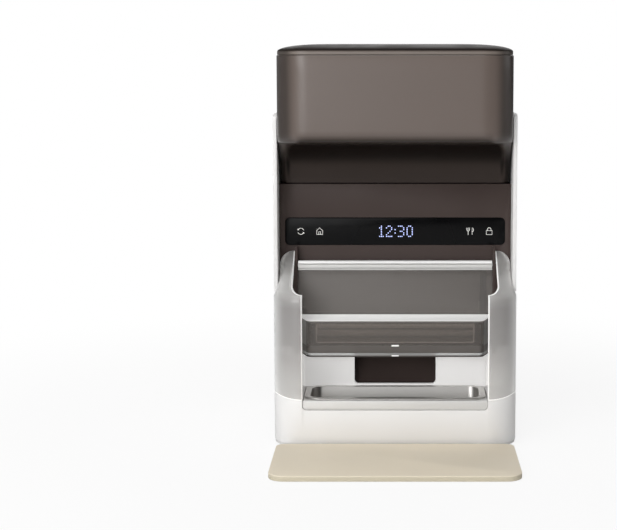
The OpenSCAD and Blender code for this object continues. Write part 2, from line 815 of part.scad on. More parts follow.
// Plan of the visor's box, set in by t, its back pushed out by reach
function visor_plan(t, reach) =
    let(w = visor_front_w / 2 - t)
    let(r = 6)
    let(right = concat(
        arc(w - r, visor_y + t + r, r, -90, -4, 5),
        [[visor_mid_w / 2 - t, visor_mid_y], [visor_box_w / 2 - t, panel_y0 + reach]]
    ))
    let(n = len(right) - 1)
    concat(right, [for (i = [0:n]) [-right[n - i][0], right[n - i][1]]]);
module visor() color(smoke) {
    translate([0, 0, visor_z0]) linear_extrude(ledge_z - visor_z0) difference() {
        polygon(visor_plan(0, 0));
        polygon(visor_plan(visor_t, 1));
    }
    translate([0, 0, ledge_z - visor_t]) linear_extrude(visor_t) polygon(visor_plan(0, 1));
    block(-visor_w / 2, visor_w / 2, panel_y0, panel_y1, ledge_z - visor_t, bar_z0);
}
module visor_top_bar() color(white) {
    block(-bar_w / 2, bar_w / 2, panel_y1 - bar_d, panel_y1, bar_z0, bar_z0 + bar_h);
    for (side = [0, 1]) mirror([side, 0, 0]) translate([bar_w / 2 - 2, pin_y, pin_z]) rotate([0, 90, 0])
        cylinder(r = pin_r, h = pin_l + 2);
}
module visor_seal() color(clear) translate([0, 0, visor_z0 - seal_h]) linear_extrude(seal_h) difference() {
    polygon(visor_plan(0.2, -0.2));
    polygon(visor_plan(0.2 + seal_t, 1));
}
module visor_rack() color("#c9c9c6") {
    z = visor_pinion_z + rack_pitch / 2;
    tooth = rack_pitch / 4 - mesh_play / 2;
    slant = tan(pressure_angle);
    low = rack_line_y - 1.2 * rack_m;
    high = rack_line_y + 0.8 * rack_m;
    teeth = [for (k = [-rack_down:rack_up - 1], p = [0:3])
        let(reach = p == 0 || p == 3 ? rack_line_y - low : rack_line_y - high)
        let(half = tooth + slant * reach)
        [p == 0 || p == 3 ? low : high, z + k * rack_pitch + (p < 2 ? -half : half)]];
    ends = [[panel_y1, z + rack_up * rack_pitch], [panel_y1, z - (rack_down + 1) * rack_pitch]];
    across(rack_x0, rack_x0 + rack_w) polygon(concat(teeth, ends));
}
module visor_pinion() color(white) translate([0, visor_pinion_y, visor_pinion_z]) {
    translate([rack_x0 + 0.5, 0, 0]) rotate([0, 90, 0]) rotate(90) gear(rack_m, visor_teeth, gear_w, 0);
    translate([gearbox_x0 + shaft_in, 0, 0]) rotate([0, 90, 0])
        cylinder(r = pin_shaft_r, h = rack_x0 + gear_w + 3 - gearbox_x0 - shaft_in);
}
gearbox_y0 = housing_y + housing_t;
module visor_gearbox() color("#3a3a3c") difference() {
    block(gearbox_x0, gearbox_x1, gearbox_y0, gearbox_y0 + gearbox_d,
        visor_pinion_z - gearbox_r, visor_pinion_z + gearbox_r);
    translate([gearbox_x0 + shaft_in - 1, visor_pinion_y, visor_pinion_z]) rotate([0, 90, 0])
        cylinder(r = pin_shaft_r + shaft_play, h = gearbox_w);
}
module visor_motor() color("silver")
    translate([gearbox_x0 - motor_l, gearbox_y0 + gearbox_d / 2, visor_pinion_z])
        rotate([0, 90, 0]) cylinder(r = motor_r, h = motor_l);

module guide_rail_right() color(dark) {
    web_top = slope_z(rail_y0, hood_t) - 1;
    block(rail_x0, rail_x1, rail_y0, rail_y0 + rail_lip, rail_z0, rail_z1);
    block(rail_x0, rail_x1, panel_y1 + rail_gap, housing_y, rail_z0, rail_z1);
    block(rail_x1, rail_x1 + rail_web, rail_y0, housing_y, rail_z0, web_top);
}
module guide_rail_left() mirror([1, 0, 0]) guide_rail_right();

// --- Portion drive ---

module chassis_frame() color("#8e9296") difference() {
    union() {
        block(-leg_x - leg_r, leg_x + leg_r, leg_y[0] - leg_r, leg_y[1] + leg_r, chassis_z, deck_z);
        for (x = [-1, 1], y = leg_y) translate([x * leg_x, y, base_top])
            cylinder(r = leg_r, h = chassis_z - base_top + 1);
        for (x = [-1, 1], y = leg_y) translate([x * leg_x, y, base_top]) cylinder(r = leg_r + 3, h = 3);
        for (x = [-1, 1]) translate([x * post_x, feed_y, feed_box_top])
            cylinder(r = post_r, h = chassis_z - feed_box_top + 1);
        rear_boss(rear_screw_z[0]);
    }
    rear_pilot(rear_screw_z[0]);
    translate([0, drop_y, chassis_z - 1]) cylinder(r = drop_r, h = above);
    translate([0, rotor_y, chassis_z - 1]) cylinder(r = hub_r + 1, h = above);
    for (x = [-1, 1], y = leg_y) translate([x * leg_x, y, base_top - 1])
        cylinder(r = screw_r + shaft_play, h = 9);
}
module chassis_screws() color("silver") for (x = [-1, 1], y = leg_y)
    translate([x * leg_x, y, base_top - 5]) cylinder(r = screw_r, h = 12);

module rotor_chamber() color("#d9d8d4") translate([0, rotor_y, deck_z]) difference() {
    cylinder(r = chamber_r, h = chamber_h);
    translate([0, 0, chamber_t]) cylinder(r = chamber_in, h = chamber_h);
    translate([0, 0, -1]) cylinder(r = shaft_r + shaft_play, h = above);
    translate([0, drop_y - rotor_y, -1]) cylinder(r = drop_r, h = above);
}
chamber_lid_t = 3;
module chamber_lid() color("#d9d8d4") translate([0, rotor_y, chamber_top]) difference() {
    cylinder(r = chamber_r, h = chamber_lid_t);
    translate([0, 0, -1]) cylinder(r = outlet_r + 1, h = above);
}
module outlet_seal() color("#4a4a4a") translate([0, rotor_y, chamber_top + chamber_lid_t]) difference() {
    h = neck_z0 - fit - chamber_top - chamber_lid_t;
    cylinder(r = neck_r0 + 3, h = h);
    translate([0, 0, -1]) cylinder(r = outlet_r + 1, h = h + 2);
}
press_play = 0.02;
module portion_rotor() color("#e9e6dc") translate([0, rotor_y, rotor_z0]) difference() {
    union() {
        cylinder(r = hub_r, h = rotor_z1 - rotor_z0);
        for (k = [0:vanes - 1]) rotate(360 * k / vanes + 30) translate([hub_r - 1, -vane_t / 2, 0])
            cube([vane_r - hub_r + 1, vane_t, rotor_z1 - rotor_z0]);
    }
    translate([0, 0, -1]) cylinder(r = shaft_r + press_play, h = chamber_h + 2);
}
module rotor_shaft() color("silver") translate([0, rotor_y, gear_z0 - 1])
    cylinder(r = shaft_r, h = rotor_z1 + agitator_bore_h - gear_z0);
arm_l = outlet_r - 6;
arm_t = 3;
arm_z = 8;
finger_h = 22;
agitator_h = 12;
agitator_bore_h = 6;
module agitator() color("#e9e6dc") translate([0, rotor_y, rotor_z1]) difference() {
    union() {
        cylinder(r = hub_r - 1, h = agitator_h);
        for (turn = [0, 120, 240]) rotate(turn) translate([0, -arm_t / 2, arm_z]) {
            cube([arm_l, arm_t, arm_t]);
            translate([arm_l - arm_t, 0, 0]) cube([arm_t, arm_t, finger_h]);
        }
    }
    translate([0, 0, -1]) cylinder(r = shaft_r + press_play, h = agitator_bore_h + 1);
}
module rotor_gear() color(white) translate([0, rotor_y, gear_z0])
    gear(feed_m, rotor_teeth, gear_w, shaft_r + press_play);
module feed_pinion() color(white) translate([0, feed_y, 0]) {
    translate([0, 0, gear_z0]) gear(feed_m, feed_teeth, gear_w, 0);
    translate([0, 0, feed_box_top - feed_shaft_in])
        cylinder(r = pin_shaft_r, h = gear_z0 - feed_box_top + feed_shaft_in + 1);
}
module feed_motor() color("#3a3a3c") difference() {
    union() {
        block(-feed_box_w / 2, feed_box_w / 2, feed_y - feed_box_front, feed_y + feed_box_back,
            feed_box_top - feed_box_h, feed_box_top);
        block(-post_x - post_r, post_x + post_r, feed_y - post_r, feed_y + post_r,
            feed_box_top - feed_ear_t, feed_box_top);
        translate([0, feed_y, feed_box_top - feed_box_h - feed_can_l])
            cylinder(r = feed_can_r, h = feed_can_l + 1);
    }
    translate([0, feed_y, feed_box_top - feed_shaft_in - 1])
        cylinder(r = pin_shaft_r + shaft_play, h = feed_shaft_in + 2);
}

// --- Electronics and power ---

main_gap = 10;
main_y = rear_in - main_gap;
main_z = [box_z0 + box_h + 8, chassis_z - 6];
main_w = 64;
cable_w = 12;
cable_x = -main_w;
standoff_r = 3;
standoff_x = main_w - cable_w - standoff_r - 5;
capacitor_r = 4;
capacitor_l = 9;
module main_board() color("#1f5c3a") {
    block(-main_w, main_w, main_y, main_y + board_t, main_z[0], main_z[1]);
    block(-14, 14, main_y - 1.8, main_y + 0.1, main_z[0] + 12, main_z[0] + 30);
    block(24, 40, main_y - 1.2, main_y + 0.1, main_z[0] + 14, main_z[0] + 26);
    for (x = [-52, -30, 48]) translate([x, main_y + 0.1, main_z[0] + 30]) rotate([90, 0, 0])
        cylinder(r = capacitor_r, h = capacitor_l);
    for (x = [-1, 1], z = [main_z[0] + 6, main_z[1] - 6])
        translate([x * standoff_x, rear_in, z]) rotate([90, 0, 0])
            cylinder(r = standoff_r, h = main_gap - board_t + 0.1);
}
cable_t = 0.8;
cable_z = chamber_top + chamber_lid_t + 12;
cable_y0 = display_y + board_t;
cable_y1 = leg_y[1] + leg_r + 2;
module ribbon_cable() color("#b9b9b5") {
    x1 = cable_x + cable_w;
    block(cable_x, x1, cable_y0, cable_y0 + cable_t, window_z - 4, cable_z);
    block(cable_x, x1, cable_y0, cable_y1, cable_z - cable_t, cable_z);
    block(cable_x, x1, cable_y1 - cable_t, cable_y1, main_z[1] - 20, cable_z);
    block(cable_x, x1, main_y + board_t, cable_y1, main_z[1] - 20, main_z[1] - 12);
}
cone_r = 12;
cone_h = 10;
frame_h = 3;
module speaker() color("#2b2b2b") translate([speaker_x, rear_in, speaker_z]) rotate([90, 0, 0]) {
    cylinder(r = speaker_r, h = frame_h);
    cylinder(r = cone_r, h = cone_h);
}
module battery_box() color(dark) difference() {
    block(-box_w / 2, box_w / 2, box_y0, box_y1, box_z0, box_z0 + box_h);
    block(-door_w / 2, door_w / 2, box_y0 + box_t, box_y1 + 1, door_z0, door_z0 + door_h);
}
function cell_x(k) = (k - (cells - 1) / 2) * 2 * cell_r;
module battery_cells() color("goldenrod") for (k = [0:cells - 1])
    translate([cell_x(k), cell_y0, cell_z]) rotate([-90, 0, 0]) cylinder(r = cell_r - 0.1, h = cell_l);
module cell_contacts() color("silver") for (k = [0:cells - 1])
    translate([cell_x(k), box_y0 + box_t, cell_z]) rotate([-90, 0, 0])
        cylinder(r = contact_r, h = contact_t);
module door_contacts() color("silver") for (k = [0:cells - 1])
    translate([cell_x(k), cell_y1 + fit, cell_z]) rotate([-90, 0, 0])
        cylinder(r = contact_r, h = rear_in - cell_y1);
module battery_door() color(white) difference() {
    along(rear_in + fit, br) translate([0, door_z0 + door_h / 2])
        pad(door_w - 2 * fit, door_h - 2 * fit, 2.7);
    translate([0, br - 1.2, door_z0 + door_h - 4]) rotate([-90, 0, 0]) cylinder(r = 9, h = 3);
}
module power_inlet() color("#1c1c1c") difference() {
    union() {
        block(inlet_x - inlet_w / 2, inlet_x + inlet_w / 2, rear_in - 12, rear_in, inlet_z - 7, inlet_z + 7);
        block(inlet_x - inlet_w / 2 + 2 + fit, inlet_x + inlet_w / 2 - 2 - fit, rear_in - 1, br - 0.5,
            inlet_z - 5 + fit, inlet_z + 5 - fit);
    }
    translate([inlet_x, rear_in - 9, inlet_z]) rotate([-90, 0, 0]) difference() {
        cylinder(r = 2.75, h = above);
        cylinder(r = 1.05, h = shell_t + 8);
    }
}
button_y0 = br - shell_t - 1;
module reset_button() color(dark) translate([button_x, 0, button_z]) rotate([-90, 0, 0]) {
    translate([0, 0, button_y0]) cylinder(r = button_r, h = shell_t + 0.8);
    translate([0, 0, button_y0]) cylinder(r = button_r + 1.5, h = 0.7);
}
module button_board() color("#1f5c3a") {
    y = button_y0 - button_travel - 0.4;
    reach = button_r + 4.5;
    block(button_x - 8, button_x + 8, y - 4.6, y - 3, button_z - reach - 1.5, button_z + reach + 1.5);
    block(button_x - 3, button_x + 3, y - 3.1, y, button_z - 3, button_z + 3);
    for (z = [-reach, reach])
        block(button_x - 2, button_x + 2, y - 3.1, rear_in, button_z + z - 1.5, button_z + z + 1.5);
}

// --- Tank and lid ---

// Side outline of the tank: upright front, rounded overhang, and a hollow that runs down to the
// housing, all set in by t
scoop_a = housing_setback - bulge_r;
scoop_b = bulge_z - tank_z0;
function tank_side(t) = concat(
    [[bf + t, tank_top + 1]],
    arc(bf + bulge_r, bulge_z + bulge_r, bulge_r - t, 180, 270),
    [for (i = [0:12]) let(a = 90 - 90 * i / 12)
        [bf + bulge_r + (scoop_a + t) * cos(a), tank_z0 + (scoop_b + t) * sin(a)]],
    [[housing_y + t, tank_z0 - 2 * t], [tank_y1 - t, tank_z0 - 2 * t], [tank_y1 - t, tank_top + 1]]
);
module tank_prism(t, z0, z1) prism(tank_w / 2 - t, bf + t, tank_y1 - t, tank_r - t, tank_rear_r - t, z0, z1);
funnel_z = tank_z0 + funnel_h;
module tank_funnel(t) hull() {
    tank_prism(tank_wall - t, funnel_z, funnel_z + 0.5);
    translate([0, rotor_y, neck_z0]) cylinder(r = outlet_r + t, h = 0.5, $fn = 32);
}
module hopper_tank() color(brown) difference() {
    union() {
        intersection() {
            tank_prism(0, tank_z0, tank_top);
            across(-tank_w, tank_w) polygon(tank_side(0));
        }
        intersection() {
            tank_funnel(tank_wall);
            tank_prism(tank_wall / 2, neck_z0, tank_z0 + 1);
        }
    }
    tank_prism(tank_wall, funnel_z + 0.4, tank_top + 1);
    translate([0, 0, -0.01]) tank_funnel(0);
    difference() {
        intersection() {
            tank_prism(tank_wall, tank_z0 - 1, funnel_z);
            across(-tank_w, tank_w) polygon(tank_side(tank_wall));
        }
        tank_funnel(tank_wall);
    }
}

// Crowned outline of the lid in X and Z
lid_arc_r = (pow(lid_w, 2) + pow(lid_crown, 2)) / (2 * lid_crown);
function crown(x) = lid_top - lid_arc_r + sqrt(pow(lid_arc_r, 2) - pow(x, 2));
lid_edge_r = 2.5;
module lid_outline() {
    steps = 8;
    w = lid_w - lid_edge_r;
    over = [for (i = [-steps:steps]) let(x = w * i / steps) [x, crown(x)]];
    z = crown(w) - lid_edge_r;
    polygon(concat(
        [[-lid_w, lid_z0]],
        arc(-w, z, lid_edge_r, 180, 100, 4),
        over,
        arc(w, z, lid_edge_r, 80, 0, 4),
        [[lid_w, lid_z0]]
    ));
}
module lid_ring(out, into, z0, z1) difference() {
    tank_prism(out, z0, z1);
    tank_prism(into, z0 - 1, z1 + 1);
}
module hopper_lid() color(brown) {
    difference() {
        intersection() {
            tank_prism(lid_inset, lid_z0, lid_top + 1);
            along(bf, tank_y1) lid_outline();
        }
        tank_prism(lid_inset + lid_t, lid_z0 - 1, lid_ceiling);
    }
    lid_ring(skirt_in, skirt_in + 2, skirt_z0, lid_ceiling + 0.1);
}
module lid_seal() color("#4a4a4a") lid_ring(tank_wall + fit, skirt_in, skirt_z0 + 3, skirt_z0 + 6);
module desiccant_box() color(white) translate([0, dry_y, dry_z0]) difference() {
    cylinder(r = dry_r, h = dry_h);
    translate([0, 0, -1]) cylinder(r = dry_r - 2, h = dry_h - 1);
}
module desiccant_pack() color("#e8e4d8") translate([0, dry_y, dry_z0 + cover_h + fit])
    cylinder(r = dry_r - 3, h = dry_h - cover_h - 2 - 2 * fit);
module desiccant_cover() color(white) translate([0, dry_y, dry_z0]) difference() {
    cylinder(r = dry_r - 2 - fit, h = cover_h);
    for (k = [0:7]) rotate(45 * k) translate([8, -1.5, -1]) cube([14, 3, above]);
}

base_shell();
bottom_cover();
rubber_feet();
base_screws();
mat();
bowl_tray();
bowl();
bay_back_wall();
chute_duct();
chute_sensors();
side_shell_left();
side_shell_right();
rear_cover();
rear_screws();
electronics_housing();
display_window();
display_board();
reader_bar_cover();
reader_antenna();
hood_left();
hood_right();
guide_rail_left();
guide_rail_right();
visor();
visor_top_bar();
visor_seal();
visor_rack();
visor_pinion();
visor_gearbox();
visor_motor();
chassis_frame();
chassis_screws();
rotor_chamber();
chamber_lid();
outlet_seal();
portion_rotor();
rotor_shaft();
agitator();
rotor_gear();
feed_pinion();
feed_motor();
main_board();
ribbon_cable();
speaker();
battery_box();
battery_cells();
cell_contacts();
door_contacts();
battery_door();
power_inlet();
reset_button();
button_board();
hopper_tank();
hopper_lid();
lid_seal();
desiccant_box();
desiccant_pack();
desiccant_cover();
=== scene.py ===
import json
import math

import bmesh
import bpy
from mathutils import Matrix, Vector


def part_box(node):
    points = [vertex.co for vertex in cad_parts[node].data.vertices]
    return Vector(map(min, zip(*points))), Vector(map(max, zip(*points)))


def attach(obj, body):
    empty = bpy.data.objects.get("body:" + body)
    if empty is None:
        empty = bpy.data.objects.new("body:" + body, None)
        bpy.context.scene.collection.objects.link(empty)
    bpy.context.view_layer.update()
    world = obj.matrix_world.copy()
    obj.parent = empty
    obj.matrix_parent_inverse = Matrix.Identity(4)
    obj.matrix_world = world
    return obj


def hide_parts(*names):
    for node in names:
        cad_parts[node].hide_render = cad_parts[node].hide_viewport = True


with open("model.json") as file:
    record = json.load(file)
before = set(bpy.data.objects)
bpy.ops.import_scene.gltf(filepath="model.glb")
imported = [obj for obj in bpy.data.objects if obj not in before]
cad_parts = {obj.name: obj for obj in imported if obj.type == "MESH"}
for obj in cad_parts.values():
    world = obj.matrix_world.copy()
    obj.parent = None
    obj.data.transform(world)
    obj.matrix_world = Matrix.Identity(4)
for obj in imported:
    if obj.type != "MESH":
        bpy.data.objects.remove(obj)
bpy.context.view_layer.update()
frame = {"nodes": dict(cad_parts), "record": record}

mm = 0.001


# shader and mesh helpers

def rgb(code):
    # hex colour to the linear values that the sockets take
    out = []
    for k in (0, 2, 4):
        c = int(code[k:k + 2], 16) / 255
        out.append(c / 12.92 if c <= 0.04045 else ((c + 0.055) / 1.055) ** 2.4)
    return (*out, 1.0)


class Wire:
    # a socket that takes part in sums
    def __init__(self, finish, socket):
        self.finish, self.socket = finish, socket

    def sum(self, operation, a, b):
        return self.finish.node("ShaderNodeMath", {"operation": operation}, {0: a, 1: b})

    def __add__(self, other):
        return self.sum("ADD", self, other)

    def __sub__(self, other):
        return self.sum("SUBTRACT", self, other)

    def __rsub__(self, other):
        return self.sum("SUBTRACT", other, self)

    def __mul__(self, other):
        return self.sum("MULTIPLY", self, other)

    def __truediv__(self, other):
        return self.sum("DIVIDE", self, other)

    def __pow__(self, other):
        return self.sum("POWER", self, other)


class Finish:
    # a material, or another shader tree, and the nodes put into it
    def __init__(self, name, tree=None):
        if tree is None:
            self.material = bpy.data.materials.new(name)
            self.material.use_nodes = True
            tree = self.material.node_tree
        self.tree = tree
        tree.nodes.clear()

    def node(self, kind, settings=None, values=None, out=0):
        made = self.tree.nodes.new(kind)
        for key, value in (settings or {}).items():
            if key == "stops":
                ramp = made.color_ramp
                while len(ramp.elements) < len(value):
                    ramp.elements.new(0.5)
                for element, (place, colour) in zip(ramp.elements, value):
                    element.position = place
                    element.color = colour
            else:
                setattr(made, key, value)
        for key, value in (values or {}).items():
            if isinstance(value, Wire):
                self.tree.links.new(value.socket, made.inputs[key])
            else:
                made.inputs[key].default_value = value
        return Wire(self, made.outputs[out]) if made.outputs else None

    def place(self, scale=(1, 1, 1)):
        at = self.node("ShaderNodeTexCoord", out="Object")
        return self.node("ShaderNodeMapping", {}, {"Vector": at, "Scale": scale})

    def along(self, axis):
        # distance from the origin along one axis
        return self.node("ShaderNodeSeparateXYZ", {}, {0: self.place()}, out=axis)

    def noise(self, scale, detail=3.0, rough=0.5, stretch=(1, 1, 1)):
        return self.node("ShaderNodeTexNoise", {}, {"Vector": self.place(stretch), "Scale": scale,
                                                    "Detail": detail, "Roughness": rough})

    def tint(self, mask, low, high):
        return self.node("ShaderNodeMix", {"data_type": "RGBA"}, {0: mask, 6: low, 7: high}, out=2)

    def span(self, value, a, b, lo, hi):
        return self.node("ShaderNodeMapRange", {"interpolation_type": "SMOOTHSTEP"},
                         {"Value": value, "From Min": a, "From Max": b, "To Min": lo, "To Max": hi})

    def bump(self, height, strength, distance):
        return self.node("ShaderNodeBump", {}, {"Height": height, "Strength": strength, "Distance": distance})

    def grain(self, scale, depth):
        return self.bump(self.noise(scale, 2, 0.6), depth, 0.0002)

    def flow(self, low, high):
        # broad, slight mottling
        return self.span(self.noise(9, 2), 0.35, 0.7, low, high)

    def wander(self, low, high):
        return self.span(self.noise(38, 3), 0.3, 0.7, low, high)

    def facing(self):
        # from 0 face on to 1 at a glancing angle
        return self.node("ShaderNodeLayerWeight", {}, {"Blend": 0.5}, out="Facing")

    def dimmed(self, colour, share):
        return self.node("ShaderNodeVectorMath", {"operation": "SCALE"}, {0: colour, "Scale": share})

    def shader(self, values):
        return self.node("ShaderNodeBsdfPrincipled", {}, values)

    def end(self, surface):
        self.node("ShaderNodeOutputMaterial", {}, {"Surface": surface})
        return self.material


def moulded(name, colour, deeper, rough=0.42, grain=900, depth=0.05, level=0.5, coat=0.0, lit=0.0):
    # moulded plastic: slight flow mottling, spark-eroded grain, and roughness that wanders.
    # lit gives a painted glow in the plastic's own colour
    f = Finish(name)
    return f.end(f.shader({
        "Base Color": f.tint(f.flow(0, 1), rgb(colour), rgb(deeper)),
        "Roughness": f.wander(rough - 0.05, rough + 0.06),
        "Specular IOR Level": level, "Coat Weight": coat, "Coat Roughness": 0.25,
        "Emission Color": rgb(colour), "Emission Strength": lit,
        "Normal": f.grain(grain, depth)}))


def plasticWithPaintedShade(name, colour, paintedShadeColour, share, rough=0.4, coat=0.5):
    # plastic with painted shade: the colour is darkened at glancing angles, a painted edge shade, and is
    # darker and duller where share(finish) falls to nought, which paints shade there
    f = Finish(name)
    lit = share(f)
    # painted shade round the edges, where the surface turns away from view
    paintedEdgeShade = f.span(f.facing(), 0.08, 0.34, 1, 0.4)
    return f.end(f.shader({
        "Base Color": f.dimmed(f.tint(lit, rgb(paintedShadeColour), rgb(colour)), f.flow(0.96, 1.0) * paintedEdgeShade),
        "Roughness": f.wander(rough - 0.04, rough + 0.05),
        "Specular IOR Level": 0.06, "Coat Weight": lit * coat, "Coat Roughness": 0.3,
        "Normal": f.grain(1100, 0.05)}))


def heightShare(low, high):
    # a share for the painted shade that goes from 0, full painted shade, at one height to 1 at the other
    return lambda f: f.span(f.along(2), low, high, 0, 1)


def banded(name, below, above, low, high, rough):
    # satin plastic of one tone below a height and another above it
    f = Finish(name)
    tone = f.tint(f.span(f.along(2), low, high, 0, 1), rgb(below), rgb(above))
    return f.end(f.shader({
        "Base Color": f.dimmed(tone, f.flow(0.96, 1.0)),
        "Roughness": f.wander(rough - 0.04, rough + 0.05),
        "Normal": f.grain(1100, 0.05)}))


def metal(name, colour, stretch, rough=0.3, anisotropic=0.4, depth=0.12, swing=0.08):
    # brushed or turned metal: streaks along one axis, in roughness and relief
    f = Finish(name)
    streak = f.noise(260, 4, 0.62, stretch)
    return f.end(f.shader({
        "Base Color": f.tint(streak, rgb(colour), tuple(0.9 * c for c in rgb(colour)[:3]) + (1,)),
        "Metallic": 1.0, "Anisotropic": anisotropic,
        "Roughness": f.span(streak, 0.3, 0.7, rough - swing, rough + swing),
        "Normal": f.bump(streak, depth, 0.00005)}))


def clearPlastic(name, tint, body, rough, cover, ledge=None, glint=0.4, lit="000000"):
    # see-through moulding: a tinted clear part under a satin skin that shows more at glancing angles, where
    # its colour is also lightened towards white, a painted reflection. body is a colour, or colours by
    # height. cover gives the skin's share at two heights, and may name a height below which the skin takes
    # another colour, a painted shade. ledge is a top face made near white and glowing, a painted highlight.
    # lit is the colour of a painted glow
    f = Finish(name)
    facing, height = f.facing(), f.along(2)
    if isinstance(body, str):
        colour = rgb(body)
    else:
        low, high = min(body), max(body)
        stops = [((z - low) / (high - low), rgb(code)) for z, code in sorted(body.items())]
        colour = f.node("ShaderNodeValToRGB", {"stops": stops}, {0: (height - low) / (high - low)})
    # painted reflection: the colour lightens towards white at glancing angles
    colour = f.tint(f.span(facing, 0.2, 0.8, 0, 0.8), colour, rgb("fbfbfa"))
    mask = f.span(height, cover["z0"], cover["z1"], cover["low"], cover["high"]) + facing ** 3 * 0.7
    # painted shade: below the band's height the skin turns opaquer and takes the darker colour given as below
    if "paintedShadeBand" in cover:
        paintedShadeBand = f.span(height, cover["paintedShadeBand"], cover["paintedShadeBand"] + 0.0003, 1, 0)
        mask = mask + paintedShadeBand * 0.6
        colour = f.tint(paintedShadeBand, colour, rgb(cover["below"]))
    # painted glow: the emission colour comes from lit
    light = rgb(lit)
    if ledge:
        # painted highlight: the ledge's top face is made near white, opaquer, and given more painted glow
        above = f.span(height, ledge["z"] - 0.0004, ledge["z"] - 0.0001, 0, 1)
        top = above * f.span(f.along(1), ledge["y"] - 0.001, ledge["y"], 1, 0)
        colour = f.tint(top, colour, rgb("fdfdfc"))
        light = f.tint(top, light, rgb("616160"))
        mask = mask + top * 0.9
    skin = f.shader({
        "Base Color": colour, "Roughness": f.span(f.noise(60, 2), 0.3, 0.7, rough, rough + 0.04),
        "Specular IOR Level": glint, "Emission Color": light, "Emission Strength": 1.0})
    clear = f.node("ShaderNodeBsdfTransparent", {}, {"Color": rgb(tint)})
    share = f.node("ShaderNodeMath", {"operation": "ADD", "use_clamp": True}, {0: mask, 1: 0.0})
    return f.end(f.node("ShaderNodeMixShader", {}, {0: share, 1: clear, 2: skin}))


def glow(name, colour, strength):
    # lit print, a little uneven
    f = Finish(name)
    spread = f.span(f.noise(900, 2), 0.3, 0.7, 0.88, 1.0)
    return f.end(f.shader({"Base Color": rgb(colour), "Roughness": 0.5,
                           "Emission Color": f.tint(spread, (0, 0, 0, 1), rgb(colour)),
                           "Emission Strength": strength}))


def board(name, colour, trace):
    # circuit board: solder mask with tracks and a fine weave under it
    f = Finish(name)
    black = (0, 0, 0, 1)
    track = f.node("ShaderNodeTexBrick", {"offset": 0.37}, {
        "Vector": f.place(), "Scale": 160, "Mortar Size": 0.035,
        "Color1": black, "Color2": black, "Mortar": (1, 1, 1, 1)}, out=1)
    return f.end(f.shader({"Base Color": f.tint(track, rgb(colour), rgb(trace)), "Roughness": 0.38,
                           "Normal": f.bump(track + f.noise(1400, 1) * 0.2, 0.2, 0.00004)}))


finishes = {
    "white_plastic": moulded("whiteShell", "edeceb", "e8e7e6", 0.4),
    "dark_plastic": moulded("darkHousing", "463c39", "423835", 0.45, 1100, 0.07, 0.15),
    "black_window": moulded("blackWindow", "0a0a0b", "0c0c0d", 0.2, 300, 0.004, 0.12),
    # the frosted hood's colours by height paint light and shade: lighter near the foot, a painted highlight
    # at the bend near 0.13 m, and painted shade towards the top
    "clear_hood": clearPlastic(
        "frostedHood", "fbfbfa",
        {0.045: "d9d7d5", 0.075: "b9b6b4", 0.12: "aeabaa", 0.13: "c6c4c2", 0.142: "b3b1af", 0.163: "918f8d"},
        0.28, {"z0": 0.06, "z1": 0.14, "low": 0.6, "high": 0.56}, glint=1.0),
    # smoked visor: below 86.5 mm a darker, opaquer skin, a painted shade, and the ledge's top face near white
    # and glowing, a painted highlight
    "smoked_visor": clearPlastic(
        "smokedVisor", "cdc9c6", "a8a39f", 0.32,
        {"z0": 0.107, "z1": 0.109, "low": 0.2, "high": 0.33, "paintedShadeBand": 0.0865, "below": "66625f"},
        {"z": 0.1082, "y": -0.0075}),
    # soft seal: below 78 mm a darker, opaquer skin, painted shade along its lower edge
    "clear_seal": clearPlastic(
        "softSeal", "eceeee", "dededd", 0.6,
        {"z0": 0.077, "z1": 0.08, "low": 0.3, "high": 0.3, "paintedShadeBand": 0.078, "below": "4a4644"}),
    "bowl_steel": metal("bowlSteel", "d4d2cf", (1, 9, 9), 0.34, 0.0, 0.0, 0.02),
    # the mat's sides below 3.4 mm take a darker tone, painted shade, and its top above 4.4 mm a lighter one
    "beige_mat": banded("beigeMat", "ccc3ad", "eadfca", 0.0034, 0.0044, 0.62),
    "black_rubber": moulded("blackRubber", "2a2a2b", "242425", 0.75, 900, 0.2, 0.3),
    "seal_rubber": moulded("sealRubber", "474748", "3f3f40", 0.7, 900, 0.15, 0.3),
    "screw_steel": metal("screwSteel", "b9bbbd", (6, 6, 1), 0.28),
    "shaft_steel": metal("shaftSteel", "c4c6c8", (8, 8, 1), 0.2),
    "chassis_grey": moulded("chassisGrey", "8e9296", "878b8f", 0.5),
    "drive_plastic": moulded("drivePlastic", "dad8d3", "d3d1cb", 0.45),
    "gear_plastic": moulded("gearPlastic", "e6e4de", "dedcd5", 0.32),
    "motor_case": metal("motorCase", "aeb0b2", (1, 8, 8), 0.34),
    "gearbox_case": moulded("gearboxCase", "39393b", "323234", 0.5),
    "circuit_board": board("circuitBoard", "1f5c3a", "2f7a50"),
    "ribbon": moulded("ribbonSleeve", "b9b9b5", "adada9", 0.35, 500),
    "antenna_board": board("antennaBoard", "6a3f1d", "b5733a"),
    "cell_case": moulded("cellSleeve", "c49a2c", "b98f24", 0.3, 500, 0.04, 0.5, 0.4),
    "contact_metal": metal("contactMetal", "c9c4b4", (4, 4, 4), 0.3, 0.0),
    "speaker_case": moulded("speakerCase", "2a2a2a", "242424", 0.6),
    "desiccant": moulded("pouchPaper", "e4dfd2", "dad4c5", 0.85, 500, 0.4),
}


def outsidePaintedShade(f):
    # a share for the painted shade that falls as each point's painted shade grows
    return 1 - f.node("ShaderNodeAttribute", {"attribute_name": "hollow"}, out="Fac")


icons = glow("iconLight", "e9e8e4", 0.62)
ledLight = glow("matrixLight", "b4bff2", 1.0)
# the bay's back wall has a painted glow, which stands for light falling through the clear hood
bayWhite = moulded("bayWhite", "f2f1f0", "edeceb", 0.45, lit=0.3)
# the top bar above 154 mm is near white, a painted highlight on its top, over a greyer white below
barWhite = banded("barWhite", "d3d2d0", "fcfcfb", 0.1532, 0.154, 0.3)
trayWhite = moulded("trayWhite", "dcdbd9", "d7d6d4", 0.45)
